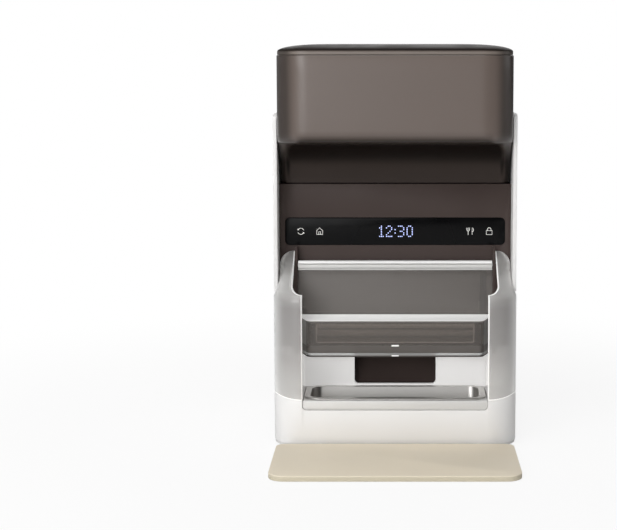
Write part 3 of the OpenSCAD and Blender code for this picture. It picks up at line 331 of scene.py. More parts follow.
# the tank darkens towards 2a2320 by each point's painted shade, and at glancing angles
tankBrown = plasticWithPaintedShade("tankBrown", "665b55", "2a2320", outsidePaintedShade, 0.4, 1.0)
# the lid's top above 338 mm takes the darker colour, painted shade, over the lighter band
lidBrown = plasticWithPaintedShade("lidBrown", "786f68", "372e2a", heightShare(0.338, 0.3362), 0.45, 0.6)
# the reader cover is lighter above 93 mm, a painted highlight, and darker below 86.5 mm, painted shade
readerGrey = plasticWithPaintedShade("readerGrey", "ded7d0", "837c75", heightShare(0.0865, 0.093), 0.35, 0.3)
# the frame round the reader bar has a painted glow
frameGrey = moulded("frameGrey", "efe9e3", "e8e2dc", 0.4, lit=0.2)
rackGrey = moulded("rackGrey", "4b4744", "464240", 0.5)
# the dashes on the visor and seal have a painted glow
markWhite = moulded("markWhite", "f6f6f5", "f0f0ef", 0.4, lit=0.25)
# the hood wings' rim faces are near white with a painted glow, a painted highlight along the edges
hoodEdge = clearPlastic("hoodEdge", "ffffff", "f4f3f2", 0.25,
                        {"z0": 0.1, "z1": 0.15, "low": 0.9, "high": 0.8}, lit="8a8987")
print("finishes:", len(finishes))

slotOf = {row["node"]: row["material_slot"] for row in frame["record"]["subparts"]}
bodyOf = {name: body for body, members in frame["record"]["behaviour"]["bodies"].items() for name in members}


def keep(piece, node=None, finish=None, stands=()):
    # finish, body and slot of a piece, which it has from the CAD node that it belongs to or stands for
    node = node or stands[0]
    slot = slotOf[node]
    piece.data.materials.clear()
    piece.data.materials.append(finish or finishes[slot])
    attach(piece, bodyOf[node])
    if stands:
        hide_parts(*stands)
    return piece


def newPiece(name, verts, faces, sharp=35):
    mesh = bpy.data.meshes.new(name)
    mesh.from_pydata([tuple(v) for v in verts], [], faces)
    mesh.validate()
    mesh.shade_smooth()
    mesh.set_sharp_from_angle(angle=math.radians(sharp))
    piece = bpy.data.objects.new(name, mesh)
    bpy.context.scene.collection.objects.link(piece)
    return piece


def bake(piece):
    # the piece's modifiers, worked into its mesh
    graph = bpy.context.evaluated_depsgraph_get()
    mesh = bpy.data.meshes.new_from_object(piece.evaluated_get(graph))
    piece.modifiers.clear()
    piece.data = mesh
    return piece


def softCopy(node, edge, steps=2, angle=28, sharp=32):
    # a copy of a CAD node with its edges broken, as on a moulding
    work = bmesh.new()
    work.from_mesh(frame["nodes"][node].data)
    bmesh.ops.remove_doubles(work, verts=work.verts, dist=0.000004)
    bmesh.ops.dissolve_limit(work, angle_limit=math.radians(0.6), verts=work.verts, edges=work.edges)
    mesh = bpy.data.meshes.new(node + "_skin")
    work.to_mesh(mesh)
    work.free()
    piece = bpy.data.objects.new(node + "_skin", mesh)
    bpy.context.scene.collection.objects.link(piece)
    bevel = piece.modifiers.new("edges", "BEVEL")
    bevel.width = edge * mm
    bevel.segments = steps
    bevel.limit_method = "ANGLE"
    bevel.angle_limit = math.radians(angle)
    bevel.use_clamp_overlap = True
    bevel.harden_normals = False
    bake(piece)
    piece.data.shade_smooth()
    piece.data.set_sharp_from_angle(angle=math.radians(sharp))
    return piece


def roundedRing(half, y0, y1, front, rear, z, count=24):
    # plan outline with rounded corners, anticlockwise from the middle of the front
    corners = ((half - front, y0 + front, front, -90), (half - rear, y1 - rear, rear, 0),
               (rear - half, y1 - rear, rear, 90), (front - half, y0 + front, front, 180))
    ring = []
    for cx, cy, r, start in corners:
        for i in range(count + 1):
            a = math.radians(start + 90 * i / count)
            ring.append(Vector((cx + r * math.cos(a), cy + r * math.sin(a), z)) * mm)
    return ring


def circle(r, count, cx=0.0, cy=0.0):
    turns = [2 * math.pi * i / count for i in range(count)]
    return [(cx + r * math.cos(a), cy + r * math.sin(a)) for a in turns]


def loft(rings, loop=False):
    # a skin through rings of one length, closed at both ends unless it loops back
    n = len(rings[0])
    verts = [p for ring in rings for p in ring]
    faces = []
    for k in range(len(rings) if loop else len(rings) - 1):
        a, b = k * n, ((k + 1) % len(rings)) * n
        for i in range(n):
            j = (i + 1) % n
            faces.append((a + i, a + j, b + j, b + i))
    if not loop:
        faces.append(tuple(reversed(range(n))))
        faces.append(tuple(range((len(rings) - 1) * n, len(rings) * n)))
    return verts, faces


def turnOut(piece):
    # the piece without doubled points, all its faces turned outward
    work = bmesh.new()
    work.from_mesh(piece.data)
    bmesh.ops.remove_doubles(work, verts=work.verts, dist=0.000002)
    bmesh.ops.recalc_face_normals(work, faces=work.faces)
    work.to_mesh(piece.data)
    work.free()
    return piece


# camera, lamps and stage

view = {"y": -1.31813, "z": 0.334, "pitch": 6.4, "lens": 88.408, "sensor": 36,
        "shiftX": -0.1404, "shiftY": -0.0649, "near": 0.05, "far": 50}
lens = bpy.data.cameras.new("camera")
lens.lens = view["lens"]
lens.sensor_width = view["sensor"]
lens.shift_x, lens.shift_y = view["shiftX"], view["shiftY"]
lens.clip_start, lens.clip_end = view["near"], view["far"]
camera = bpy.data.objects.new("camera", lens)
camera.location = (0, view["y"], view["z"])
camera.rotation_euler = (math.radians(90 - view["pitch"]), 0, 0)
bpy.context.scene.collection.objects.link(camera)
bpy.context.scene.camera = camera
bpy.context.scene.view_settings.view_transform = "Standard"

lamps = {
    "keyLeft": {"at": (-1.1, -1.75, 1.1), "size": (0.9, 1.6), "power": 14.6, "aim": (0, 0, 0.2)},
    "frontSoft": {"at": (-0.5, -2.3, 0.42), "size": (1.7, 0.8), "power": 10.5, "aim": (0, 0, 0.1)},
    "frontCard": {"at": (-0.7, -2.1, 0.5), "size": (1.3, 0.7), "power": 6, "aim": (0, 0, 0.1)},
    "topSoft": {"at": (-0.15, -0.45, 1.5), "size": (1.1, 1.1), "power": 10.5, "aim": (0, -0.05, 0.1)},
    "backRim": {"at": (0.2, 1.7, 1.0), "size": (1.4, 1.2), "power": 8.5, "aim": (0, 0, 0.15)},
    "sideFill": {"at": (1.6, 0.3, 0.9), "size": (1.0, 1.3), "power": 3.2, "aim": (0, 0, 0.15)},
}
for name, lamp in lamps.items():
    light = bpy.data.lights.new(name, "AREA")
    light.shape = "RECTANGLE"
    light.size, light.size_y = lamp["size"]
    light.energy = lamp["power"]
    holder = bpy.data.objects.new(name, light)
    holder.location = lamp["at"]
    holder.rotation_euler = (Vector(lamp["aim"]) - Vector(lamp["at"])).to_track_quat("-Z", "Y").to_euler()
    holder.visible_glossy = name != "frontSoft"
    bpy.context.scene.collection.objects.link(holder)

world = bpy.data.worlds.new("studio")
world.use_nodes = True
bpy.context.scene.world = world
white = (1, 1, 1, 1)


def studioSky(dome):
    # white where it is seen, also through clear parts, and otherwise a soft light, weaker from the right
    sky = Finish("studio", world.node_tree)
    direct = sky.node("ShaderNodeLightPath", out="Is Camera Ray")
    through = sky.node("ShaderNodeLightPath", out="Is Transmission Ray")
    seen = sky.node("ShaderNodeMath", {"operation": "ADD", "use_clamp": True}, {0: direct, 1: through})
    aside = sky.node("ShaderNodeSeparateXYZ", {}, {0: sky.node("ShaderNodeTexCoord", out="Generated")})
    strength = sky.span(aside, -0.5, 0.6, dome["left"], dome["right"])
    soft = sky.node("ShaderNodeBackground", {}, {"Color": white, "Strength": strength})
    bright = sky.node("ShaderNodeBackground", {}, {"Color": white, "Strength": 1.0})
    shown = sky.node("ShaderNodeMixShader", {}, {0: seen, 1: soft, 2: bright})
    sky.node("ShaderNodeOutputWorld", {}, {"Surface": shown})


def paperFinish(near, far, low):
    # white paper that keeps the shadows near the feeder and melts into the sky further out
    f = Finish("floorPaper")
    ray = f.node("ShaderNodeLightPath", out="Is Camera Ray")
    paper = f.shader({"Base Color": f.tint(f.noise(3, 2), rgb("f7f7f7"), rgb("f4f4f4")), "Roughness": 0.9,
                      "Specular IOR Level": 0.1})
    blank = f.node("ShaderNodeEmission", {}, {"Color": white, "Strength": 1.0})
    away = f.node("ShaderNodeVectorMath", {"operation": "LENGTH"}, {0: f.place()}, out="Value")
    share = ray * f.span(away, near, far, low, 1.0)
    return f.end(f.node("ShaderNodeMixShader", {}, {0: share, 1: paper, 2: blank}))


studioSky({"left": 0.22, "right": 0.04})
ground = {"reach": 6, "z": -0.0004}
floor = newPiece("floor", [(x * ground["reach"], y * ground["reach"], ground["z"])
                           for x, y in ((-1, -1), (1, -1), (1, 1), (-1, 1))], [(0, 1, 2, 3)])
floor.data.materials.append(paperFinish(0.22, 0.7, 0.86))
print("stage ready")


# food tank: one skin that runs down the outside, under the overhang, round the neck and up the inside

tank = {"half": 100.8, "front": -51.0, "rear": 151.1, "corner": 28.5, "rearCorner": 20.7, "wall": 2.5,
        "top": 334.0, "foot": 222.5, "bulge": 259.8, "bulgeR": 9.0, "waistFront": -1.0, "waistCorner": 9.0,
        "neck": 198.5, "neckFlare": 1.0, "neckRise": 9.0, "outlet": 30.0, "underOut": 26.0, "underIn": 16.0,
        "funnel": 284.5, "funnelEdge": 6.0, "axisY": 78.0, "lip": 0.7, "lipT": 1.5, "lipEdge": 0.3,
        "scoopHalf": 96.0, "scoopR": 11.0, "scoopSoft": 5.5, "cheekLead": 7.0, "cheek": 0.45,
        "gap": 1.0, "gapIn": 3.0}
# painted shade in the hollow under the bulge and on the cheeks: each share grows over a run of height
dark = {"brow": 0.48, "browOver": 0.7, "browRun": 6, "edgeOver": 0.4, "edgeRun": 3,
        "lift": 0.22, "liftUnder": 8, "liftRun": 26, "cheek": 0.9, "cheekRun": 19}
# how much shade is painted at each point of the tank, ring by ring
paintedShadeMarks = []


def smooth(t):
    t = min(max(t, 0), 1)
    return t * t * (3 - 2 * t)


def frontAcross(half, steps=26):
    # places across the front, closer together round the corners
    begin, r = half - tank["corner"], tank["corner"]
    bend = [begin + r * math.sin(math.radians(90 * i / steps)) for i in range(steps + 1)]
    inner = [begin - 5 * k for k in range(1, 5)]
    right = sorted(inner + bend)
    return [-x for x in reversed(right)] + [-30, 0, 30] + right


def paintedShadeAt(z):
    # how much shade is painted on the front at height z: it grows round the bulge, and less is painted on the
    # lower part, which light reaches again
    under = tank["bulge"] - z
    brow = dark["brow"] * smooth((under + tank["bulgeR"] + dark["browOver"]) / dark["browRun"])
    edge = smooth((under + dark["edgeOver"]) / dark["edgeRun"])
    return max(brow, edge) * (1 - dark["lift"] * smooth((under - dark["liftUnder"]) / dark["liftRun"]))


def between(a, b, parts):
    # points on the way from a to b, without the two ends
    return [a.lerp(b, i / parts) for i in range(1, parts)]


def tankRing(z, front, corner, scoop=None, rise=0.0, into=0.0, steps=12):
    # plan outline at one height. scoop takes the middle of the front back and leaves a cheek at each side.
    # the list of marks keeps how much shade is painted at each point, in the hollow and on the cheeks, for
    # the finish
    t, ring, marks = tank, [], []
    # painted shade on the cheeks, growing down from the bulge
    paintedCheekShade = dark["cheek"] * smooth((t["bulge"] - z) / dark["cheekRun"])
    half = t["half"] - into
    for x in frontAcross(half):
        past = max(abs(x) - (half - corner), 0)
        y = front + into + corner - math.sqrt(max(corner ** 2 - past ** 2, 0))
        if scoop is not None:
            reach, r = t["scoopHalf"], t["scoopR"]
            if rise < r:
                reach -= r - math.sqrt(r ** 2 - (r - rise) ** 2)
            share = smooth((reach - abs(x)) / t["scoopSoft"])
            y = max(y, y + (scoop - y) * share)
            marks.append(max(share * paintedShadeAt(z), paintedCheekShade))
        else:
            marks.append(0.0)
        ring.append(Vector((x, y, z)) * mm)
    r, right, left = t["rearCorner"] - into, [], []
    for i in range(steps + 1):
        a = math.radians(90 * i / steps)
        x, y = half - r + r * math.cos(a), t["rear"] - into - r + r * math.sin(a)
        right.append(Vector((x, y, z)) * mm)
        left.insert(0, Vector((-x, y, z)) * mm)
    first, last = ring[0], ring[-1]
    ring += between(last, right[0], 9) + right
    ring += between(right[-1], left[0], 11) + left
    ring += between(left[-1], first, 9)
    paintedShadeMarks.append(marks + [0.0] * (len(ring) - len(marks)))
    return ring


def tankOutside(rollSteps=8, scoopSteps=24):
    # from the rounded top edge down the front, round the bulge, and in a quarter curve down to the waist
    t, rings = tank, []
    for into, drop in ((1.0, 0), (0.5, 0.12), (0.15, 0.45), (0, 1.0)):
        rings.append(tankRing(t["top"] - drop, t["front"], t["corner"] - into, into=into))
    for z in (320, 300, 280, t["bulge"] + t["bulgeR"] + 2):
        rings.append(tankRing(z, t["front"], t["corner"]))
    for i in range(1, rollSteps + 1):
        a = math.radians(90 * i / rollSteps)
        back = t["bulgeR"] * (1 - math.cos(a))
        z = t["bulge"] + t["bulgeR"] * (1 - math.sin(a))
        rings.append(tankRing(z, t["front"] + back * (1 - t["cheek"]), t["corner"], t["front"] + back))
    reach, drop = t["waistFront"] - t["front"] - t["bulgeR"], t["bulge"] - t["foot"] - t["gap"]
    for i in range(1, scoopSteps + 1):
        share = i / scoopSteps
        a = math.radians(90 - 90 * share)
        scoop = t["front"] + t["bulgeR"] + reach * math.cos(a)
        lead = t["cheekLead"] * math.sin(math.pi * share) ** 0.7 + t["bulgeR"] * t["cheek"] * (1 - share)
        z = t["foot"] + t["gap"] + drop * math.sin(a)
        corner = t["corner"] + (t["waistCorner"] - t["corner"]) * share
        rings.append(tankRing(z, scoop - lead, corner, scoop, t["bulge"] - z))
    into, front = t["gapIn"], t["waistFront"]
    for z in (t["foot"] + t["gap"], t["foot"]):
        rings.append(tankRing(z, front, t["waistCorner"] - into, front + into, t["bulge"] - z, into))
        # the groove above the foot takes the full painted shade
        paintedShadeMarks[-1] = [1.0] * len(paintedShadeMarks[-1])
    return rings


def circleLike(ring, r, z):
    # a circle round the outlet, with a point for each point of the ring; these points take the full painted
    # shade
    centre = Vector((0, tank["axisY"], z)) * mm
    paintedShadeMarks.append([1.0] * len(ring))
    return [centre + Vector((p.x - centre.x, p.y - centre.y, 0)).normalized() * r * mm for p in ring]


def tankUnder(base):
    # flat underside and neck
    t = tank
    neck = t["outlet"] + t["wall"]
    levels = ((t["outlet"] + t["underOut"], t["foot"]), (neck + t["underIn"], t["foot"]),
              (neck + t["neckFlare"], t["neck"] + t["neckRise"]), (neck, t["neck"]), (t["outlet"], t["neck"]))
    return [circleLike(base, r, z) for r, z in levels]


def insideRing(z, into=tank["wall"]):
    # the tank's inner outline at one height
    return tankRing(z, tank["front"], tank["corner"] - into, into=into)


def tankInside(outlet, parts=4):
    # funnel, walls and the step inside the rim
    t, high = tank, insideRing(tank["funnel"])
    rings = []
    for i in range(1, parts):
        rings.append([p.lerp(q, i / parts) for p, q in zip(outlet, high)])
        paintedShadeMarks.insert(-1, paintedShadeMarks[-1])
    lip = t["top"] - t["lip"]
    return rings + [high, insideRing(t["funnel"] + t["funnelEdge"]), insideRing(lip - t["lipEdge"]),
                    insideRing(lip), insideRing(lip, t["lipT"]), insideRing(t["top"], t["lipT"])]


rings = tankOutside()
rings += tankUnder(rings[-1])
rings += tankInside(rings[-1])
tankPiece = newPiece("food_tank", *loft(rings, loop=True), sharp=40)
# each point's painted shade goes to the finish as a point attribute
depth = tankPiece.data.attributes.new("hollow", "FLOAT", "POINT")
depth.data.foreach_set("value", [value for row in paintedShadeMarks for value in row])
turnOut(tankPiece)
keep(tankPiece, stands=["hopper_tank"], finish=tankBrown)
print("tank:", len(tankPiece.data.polygons), "faces")


# lid: pillow-shaped top over an upright band, and the skirt that drops into the tank

lid = {"half": 100.2, "front": -50.4, "rear": 150.5, "corner": 27.9, "rearCorner": 20.1, "foot": 334.06,
       "band": 336.9, "top": 343.5, "run": 70, "bow": 3.6, "plate": 0.5, "skirt": 322.0, "skirtIn": 4.7,
       "skirtT": 2.0, "rebate": 0.4, "rebateIn": 1.8, "edge": 0.4, "middle": 96}


def lidRing(into, z):
    t = lid
    return roundedRing(t["half"] - into, t["front"] + into, t["rear"] - into, max(t["corner"] - into, 0.5),
                       max(t["rearCorner"] - into, 0.5), z)


def pillow(into):
    # height of the lid's top, at a distance in from its edge
    left = max(1 - into / lid["run"], 0)
    return lid["band"] + (lid["top"] - lid["band"]) * math.sqrt(1 - left ** lid["bow"])


def lidSection():
    # (how far in, height) from the middle of the ceiling, down and up the skirt, and out to the band
    t = lid
    ceiling, step, skirtBack = t["band"] - t["plate"], t["foot"] - t["rebate"], t["skirtIn"] + t["skirtT"]
    return ((t["middle"], ceiling), (skirtBack, ceiling), (skirtBack, t["skirt"]), (t["skirtIn"], t["skirt"]),
            (t["skirtIn"], step), (t["rebateIn"], step), (t["rebateIn"], t["foot"]), (t["edge"], t["foot"]),
            (0, t["foot"] + t["edge"]), (0, t["band"]))


rings = [lidRing(into, z) for into, z in lidSection()]
for into in (0.08, 0.25, 0.5, 0.9, 1.5, 2.3, 3.4, 4.8, 6.6, 9, 12, 16, 21, 27, 34, 42, 51, 61, 70, 84,
             lid["middle"]):
    rings.append(lidRing(into, pillow(into)))
lidPiece = turnOut(newPiece("tank_lid", *loft(rings), sharp=38))
keep(lidPiece, stands=["hopper_lid"], finish=lidBrown)
print("lid:", len(lidPiece.data.polygons), "faces")


# hood: two frosted wings, each a bent sheet whose edge runs in an S beside the visor

hood = {"t": 3.0, "front": -51.0, "half": 104.6, "wingHalf": 101.0, "corner": 25.0, "rear": 10.7,
        "top": 163.6, "tipR": 12.5, "housing": -1.3, "slope": math.radians(34.5), "bend": 10.0,
        "edgeLow": 79.1, "edgeHigh": 87.8, "edgeRun": 6.5, "edgeLand": 0.6, "edgeSoft": 0.9,
        "shoulder": 131.0, "step": 0.2, "stepSoft": 0.05, "spreadUnder": 3.0, "spreadRun": 22.0,
        "slimUnder": 2.6, "slimRun": 2.5, "seam": 40.8, "seamRise": 3.2, "seamX": 80.0, "seamEnd": 101.3,
        "seamPlay": 0.3, "seamFade": 60.0, "shells": -24.0, "shellPlay": 1.5, "shellRun": 8.0}
# where the rows lie: over the seam, under the shoulder's step, and from the shoulder up
levelsLow = (0, 1, 6, 14, 26, 40, 55, 70, 80)
levelsUnder = (6.5, 5.5, 4.5, 3.7, 3, 2.2, 1.8, 1.4, 1, 0.7, 0.4, 0)
levelsHigh = (-0.1, 0.2, 0.25, 0.4, 0.7, 1.2, 1.8, 3, 4.2, 5.5, 6.7, 9, 11, 13.5, 16, 18.5, 21, 23.5, 26, 28,
              29.5, 30.6, 31.4, 32, 32.35, 32.55)


def hoodFront(z):
    # where the front is at height z: upright, a bend of one radius, then the slope back to the housing
    h, r = hood, hood["bend"]
    slopeRise = (h["housing"] - h["front"]) * math.tan(h["slope"])
    up = z - h["top"] + slopeRise + r * math.tan(math.pi / 4 - h["slope"] / 2)
    if up <= 0:
        return h["front"]
    if up < r * math.cos(h["slope"]):
        return h["front"] + r - math.sqrt(r ** 2 - up ** 2)
    return h["housing"] - (h["top"] - z) / math.tan(h["slope"])


def seamAt(x):
    # height of the seam with the base, which curves up towards the sides
    h = hood
    run = h["seamEnd"] - h["seamX"]
    r = (run ** 2 + h["seamRise"] ** 2) / (2 * h["seamRise"])
    past = max(min(abs(x), h["seamEnd"]) - h["seamX"], 0)
    return h["seam"] + r - math.sqrt(r ** 2 - past ** 2) + h["seamPlay"]


def wingLimit(y, into):
    # half width that the side shells leave to a wing
    h = hood
    share = smooth((h["shells"] - h["shellPlay"] - y) / h["shellRun"])
    return h["wingHalf"] - into + (h["half"] - h["wingHalf"]) * share


def hoodRow(z, into, frontSteps=18, sideSteps=5):
    # one level of a wing, from the visor's side round the corner to the back
    h = hood
    front = hoodFront(z)
    into = min(into, 0.8 * (h["housing"] - front))
    front += into
    spread = smooth((z - h["shoulder"] + h["spreadUnder"]) / h["spreadRun"])
    up = max(z - h["top"] + h["tipR"], 0)
    tip = h["tipR"] - math.sqrt(h["tipR"] ** 2 - up ** 2)
    half = h["half"] + (h["wingHalf"] - h["half"]) * spread - tip - into
    climb = min(max((z - h["shoulder"] - h["step"]) / h["edgeRun"], 0), 1)
    edge = h["edgeLow"] + (h["edgeHigh"] - h["edgeLow"]) * math.sqrt(1 - (1 - climb) ** 2)
    edge = min(edge, half - h["edgeLand"])
    rear = h["rear"] if z < h["shoulder"] - h["step"] else h["housing"]
    r = max(min(h["corner"] - into, (rear - front) * 0.96), 0.02)
    across = lambda x: front + r - math.sqrt(r ** 2 - min(max(x - half + r, 0), r) ** 2)
    lip = h["edgeSoft"] if into == 0 else 0.0
    soft = min(h["edgeSoft"], (half - edge) * 0.2)
    row = [(edge, across(edge) + lip), (edge + soft * 0.6, across(edge + soft * 0.6) + lip * 0.2)]
    begin = edge + soft
    flat = max(half - r - begin, 0)
    turn = math.asin(min(max(begin - half + r, 0) / r, 1))
    for i in range(frontSteps + 1):
        far = (flat + r * (math.pi / 2 - turn)) * i / frontSteps
        a = turn + (far - flat) / r
        bent = (half - r + r * math.sin(a), front + r - r * math.cos(a))
        row.append((begin + far, front) if far <= flat else bent)
    row += [(half, front + r + (rear - front - r) * i / sideSteps) for i in range(1, sideSteps + 1)]
    slim = smooth((z - h["shoulder"] + h["slimUnder"]) / h["slimRun"])
    return [(x + (min(x, wingLimit(y, into)) - x) * slim, y) for x, y in row]


def hoodLevels():
    # heights of all the rows
    h = hood
    levels = [h["seam"] + d for d in levelsLow]
    levels += [h["shoulder"] - h["step"] - h["stepSoft"] - d for d in levelsUnder]
    return levels + [h["shoulder"] + d for d in levelsHigh]


def hoodSheet(side, into):
    # rows of points over one side of the bent sheet, lifted near its foot to follow the seam
    h, sheet = hood, []
    for z in hoodLevels():
        share = max(1 - (z - h["seam"]) / (h["seamFade"] - h["seam"]), 0)
        lift = lambda x: (seamAt(x) - h["seam"]) * share
        sheet.append([Vector((side * x, y, z + lift(x))) * mm for x, y in hoodRow(z, into)])
    return sheet


def hoodWing(side):
    # a wing of two sheets joined round their edges. rims tells which faces have the edge finish, with its
    # painted highlight
    grid = [hoodSheet(side, into) for into in (0, hood["t"])]
    rows, n = len(grid[0]), len(grid[0][0])
    verts = [p for sheet in grid for row in sheet for p in row]
    at = lambda k, j, i: (k * rows + j) * n + i
    faces, rims = [], []
    for j in range(rows - 1):
        for i in range(n - 1):
            faces.append((at(0, j, i), at(0, j, i + 1), at(0, j + 1, i + 1), at(0, j + 1, i)))
            faces.append((at(1, j, i), at(1, j + 1, i), at(1, j + 1, i + 1), at(1, j, i + 1)))
            rims += [i < 2 or j == 0, False]
    for j in range(rows - 1):
        for i in (0, n - 1):
            faces.append((at(0, j, i), at(0, j + 1, i), at(1, j + 1, i), at(1, j, i)))
    for i in range(n - 1):
        for j in (0, rows - 1):
            faces.append((at(0, j, i), at(1, j, i), at(1, j, i + 1), at(0, j, i + 1)))
    rims += [True] * (len(faces) - len(rims))
    wing = newPiece("hood_wing_" + ("right" if side > 0 else "left"), verts, faces, sharp=42)
    work = bmesh.new()
    work.from_mesh(wing.data)
    for face, rim in zip(work.faces, rims):
        face.material_index = int(rim)
    bmesh.ops.recalc_face_normals(work, faces=work.faces)
    work.to_mesh(wing.data)
    work.free()
    return wing


for side, node in ((1, "hood_right"), (-1, "hood_left")):
    wing = hoodWing(side)
    tags = [p.material_index for p in wing.data.polygons]
    keep(wing, stands=[node])
    wing.data.materials.append(hoodEdge)
    wing.data.polygons.foreach_set("material_index", tags)
print("hood: 2 wings")


# visor's top bar: grooved rail with a pin at each end

bar = {"half": 84.5, "back": -4.5, "front": -10.5, "low": 147.7, "high": 155.6, "groove": 2.4, "pinR": 1.3,
       "pinTo": 86.8, "pinIn": 0.5, "pinY": -5.75, "pinZ": 151.65}


def topBar(count=20):
    # outline from the top down the grooved front, drawn out along the bar, and a pin at each end
    t, groove = bar, bar["groove"]
    front = [(1.9, 7.9), (1.2, 7.7), (0, 6.1), (0, 5.9), (groove, 5.8), (groove, 4.9), (0.7, 4.8),
             (0.3, 2.2), (groove, 2.1), (groove, 1.2), (0.7, 1.1), (0.3, 0.3), (0.6, 0)]
    outline = [(t["back"], t["high"])] + [(t["front"] + y, t["low"] + z) for y, z in front]
    outline.append((t["back"], t["low"]))
    n = len(outline)
    verts = [Vector((x, y, z)) * mm for x in (-t["half"], t["half"]) for y, z in outline]
    faces = [tuple(range(n)), tuple(reversed(range(n, 2 * n)))]
    faces += [(i, i + n, (i + 1) % n + n, (i + 1) % n) for i in range(n)]
    for side in (-1, 1):
        start = len(verts)
        ring = circle(t["pinR"], count, t["pinY"], t["pinZ"])
        for x in (t["half"] - t["pinIn"], t["pinTo"]):
            verts += [Vector((side * x, y, z)) * mm for y, z in ring]
        faces += [(start + i, start + (i + 1) % count, start + count + (i + 1) % count, start + count + i)
                  for i in range(count)]
        faces += [tuple(range(start, start + count)), tuple(range(start + count, start + 2 * count))]
    return newPiece("visor_bar", verts, faces, sharp=25)


keep(turnOut(topBar()), stands=["visor_top_bar"], finish=barWhite)


# display: lit dots for the digits, and four symbols, on the glossy window

def repeatPiece(name, places, shape, turn=(0, 0, 0), spin=0.0, axis=(0, 0, 1), seed=4):
    # shape set at each place by geometry nodes, turned and then spun by up to spin about an axis, and worked
    # into one mesh
    cloud = bpy.data.meshes.new(name)
    cloud.from_pydata([tuple(Vector(p) * mm) for p in places], [], [])
    piece = bpy.data.objects.new(name, cloud)
    bpy.context.scene.collection.objects.link(piece)
    tree = bpy.data.node_groups.new(name + "Nodes", "GeometryNodeTree")
    tree.interface.new_socket("Geometry", in_out="INPUT", socket_type="NodeSocketGeometry")
    inputs = {"Shape": ("Object", shape), "Turn": ("Rotation", turn), "Spin": ("Float", spin),
              "Axis": ("Vector", axis), "Seed": ("Int", seed)}
    ids = {}
    for label, (kind, value) in inputs.items():
        socket = tree.interface.new_socket(label, in_out="INPUT", socket_type="NodeSocket" + kind)
        ids[label] = socket.identifier
    tree.interface.new_socket("Geometry", in_out="OUTPUT", socket_type="NodeSocketGeometry")
    add, join = tree.nodes.new, tree.links.new
    source, result = add("NodeGroupInput"), add("NodeGroupOutput")
    points, shapeInfo = add("GeometryNodeMeshToPoints"), add("GeometryNodeObjectInfo")
    setOn, rotate = add("GeometryNodeInstanceOnPoints"), add("GeometryNodeRotateInstances")
    angle, around = add("FunctionNodeRandomValue"), add("ShaderNodeVectorMath")
    around.operation = "SCALE"
    toRotation, real = add("FunctionNodeEulerToRotation"), add("GeometryNodeRealizeInstances")
    join(source.outputs["Geometry"], points.inputs["Mesh"])
    join(source.outputs["Shape"], shapeInfo.inputs["Object"])
    join(points.outputs["Points"], setOn.inputs["Points"])
    join(shapeInfo.outputs["Geometry"], setOn.inputs["Instance"])
    join(source.outputs["Turn"], setOn.inputs["Rotation"])
    join(source.outputs["Spin"], angle.inputs[3])
    join(source.outputs["Seed"], angle.inputs["Seed"])
    join(source.outputs["Axis"], around.inputs[0])
    join(angle.outputs[1], around.inputs["Scale"])
    join(around.outputs[0], toRotation.inputs[0])
    join(setOn.outputs[0], rotate.inputs["Instances"])
    join(toRotation.outputs[0], rotate.inputs["Rotation"])
    join(rotate.outputs[0], real.inputs[0])
    join(real.outputs[0], result.inputs[0])
    repeat = piece.modifiers.new("repeat", "NODES")
    repeat.node_group = tree
    for label, (kind, value) in inputs.items():
        repeat[ids[label]] = value
    bake(piece)
    bpy.data.objects.remove(shape)
    piece.data.shade_smooth()
    piece.data.set_sharp_from_angle(angle=math.radians(35))
    return piece


def turned(name, profile, count):
    # a turned shape about Z from (radius, height) pairs in millimetres
    rings = [[Vector((x, y, z)) * mm for x, y in circle(max(r, 0.001), count)] for r, z in profile]
    return turnOut(newPiece(name, *loft(rings), sharp=30))


display = {"z": 180.7, "pitch": 1.5, "proud": 0.02, "face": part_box("display_window")[0].y / mm}
dotSize = {"r": 0.52, "topR": 0.46, "t": 0.05, "crown": 0.06, "sides": 12}
symbolAt = {"again": -82.5, "home": -66, "cutlery": 65.8, "lock": 82.3, "width": 0.35}
displayFront = display["face"] - display["proud"]
digits = {
    "1": ("0010", "0110", "0010", "0010", "0010", "0010", "0111"),
    "2": ("0110", "1001", "0001", "0010", "0100", "1000", "1111"),
    "3": ("1110", "0001", "0001", "0110", "0001", "0001", "1110"),
    "0": ("0110", "1001", "1001", "1001", "1001", "1001", "0110"),
    ":": ("0", "0", "1", "0", "1", "0", "0"),
}


def litDots(text):
    # places of the lit dots, column by column from the left
    places, column = [], 0
    for sign in text:
        rows = digits[sign]
        for j, row in enumerate(rows):
            places += [(column + i, j) for i, lit in enumerate(row) if lit == "1"]
        column += len(rows[0]) + 1
    middleX, middleZ = (column - 2) / 2, (len(rows) - 1) / 2
    return [((i - middleX) * display["pitch"], displayFront, display["z"] + (middleZ - j) * display["pitch"])
            for i, j in places]


def dotShape():
    d = dotSize
    side = [(d["topR"], -d["t"]), (d["r"], 0), (d["topR"], d["t"])]
    return turned("dotShape", [(0, -d["t"])] + side + [(0, d["crown"])], d["sides"])


clock = repeatPiece("clock_dots", litDots("12:30"), dotShape(), turn=(math.pi / 2, 0, 0))
keep(clock, "display_window", finish=ledLight)


def arcLine(cx, cz, r, start, end, count=14):
    angles = [math.radians(start + (end - start) * i / count) for i in range(count + 1)]
    return [(cx + r * math.cos(a), cz + r * math.sin(a)) for a in angles]


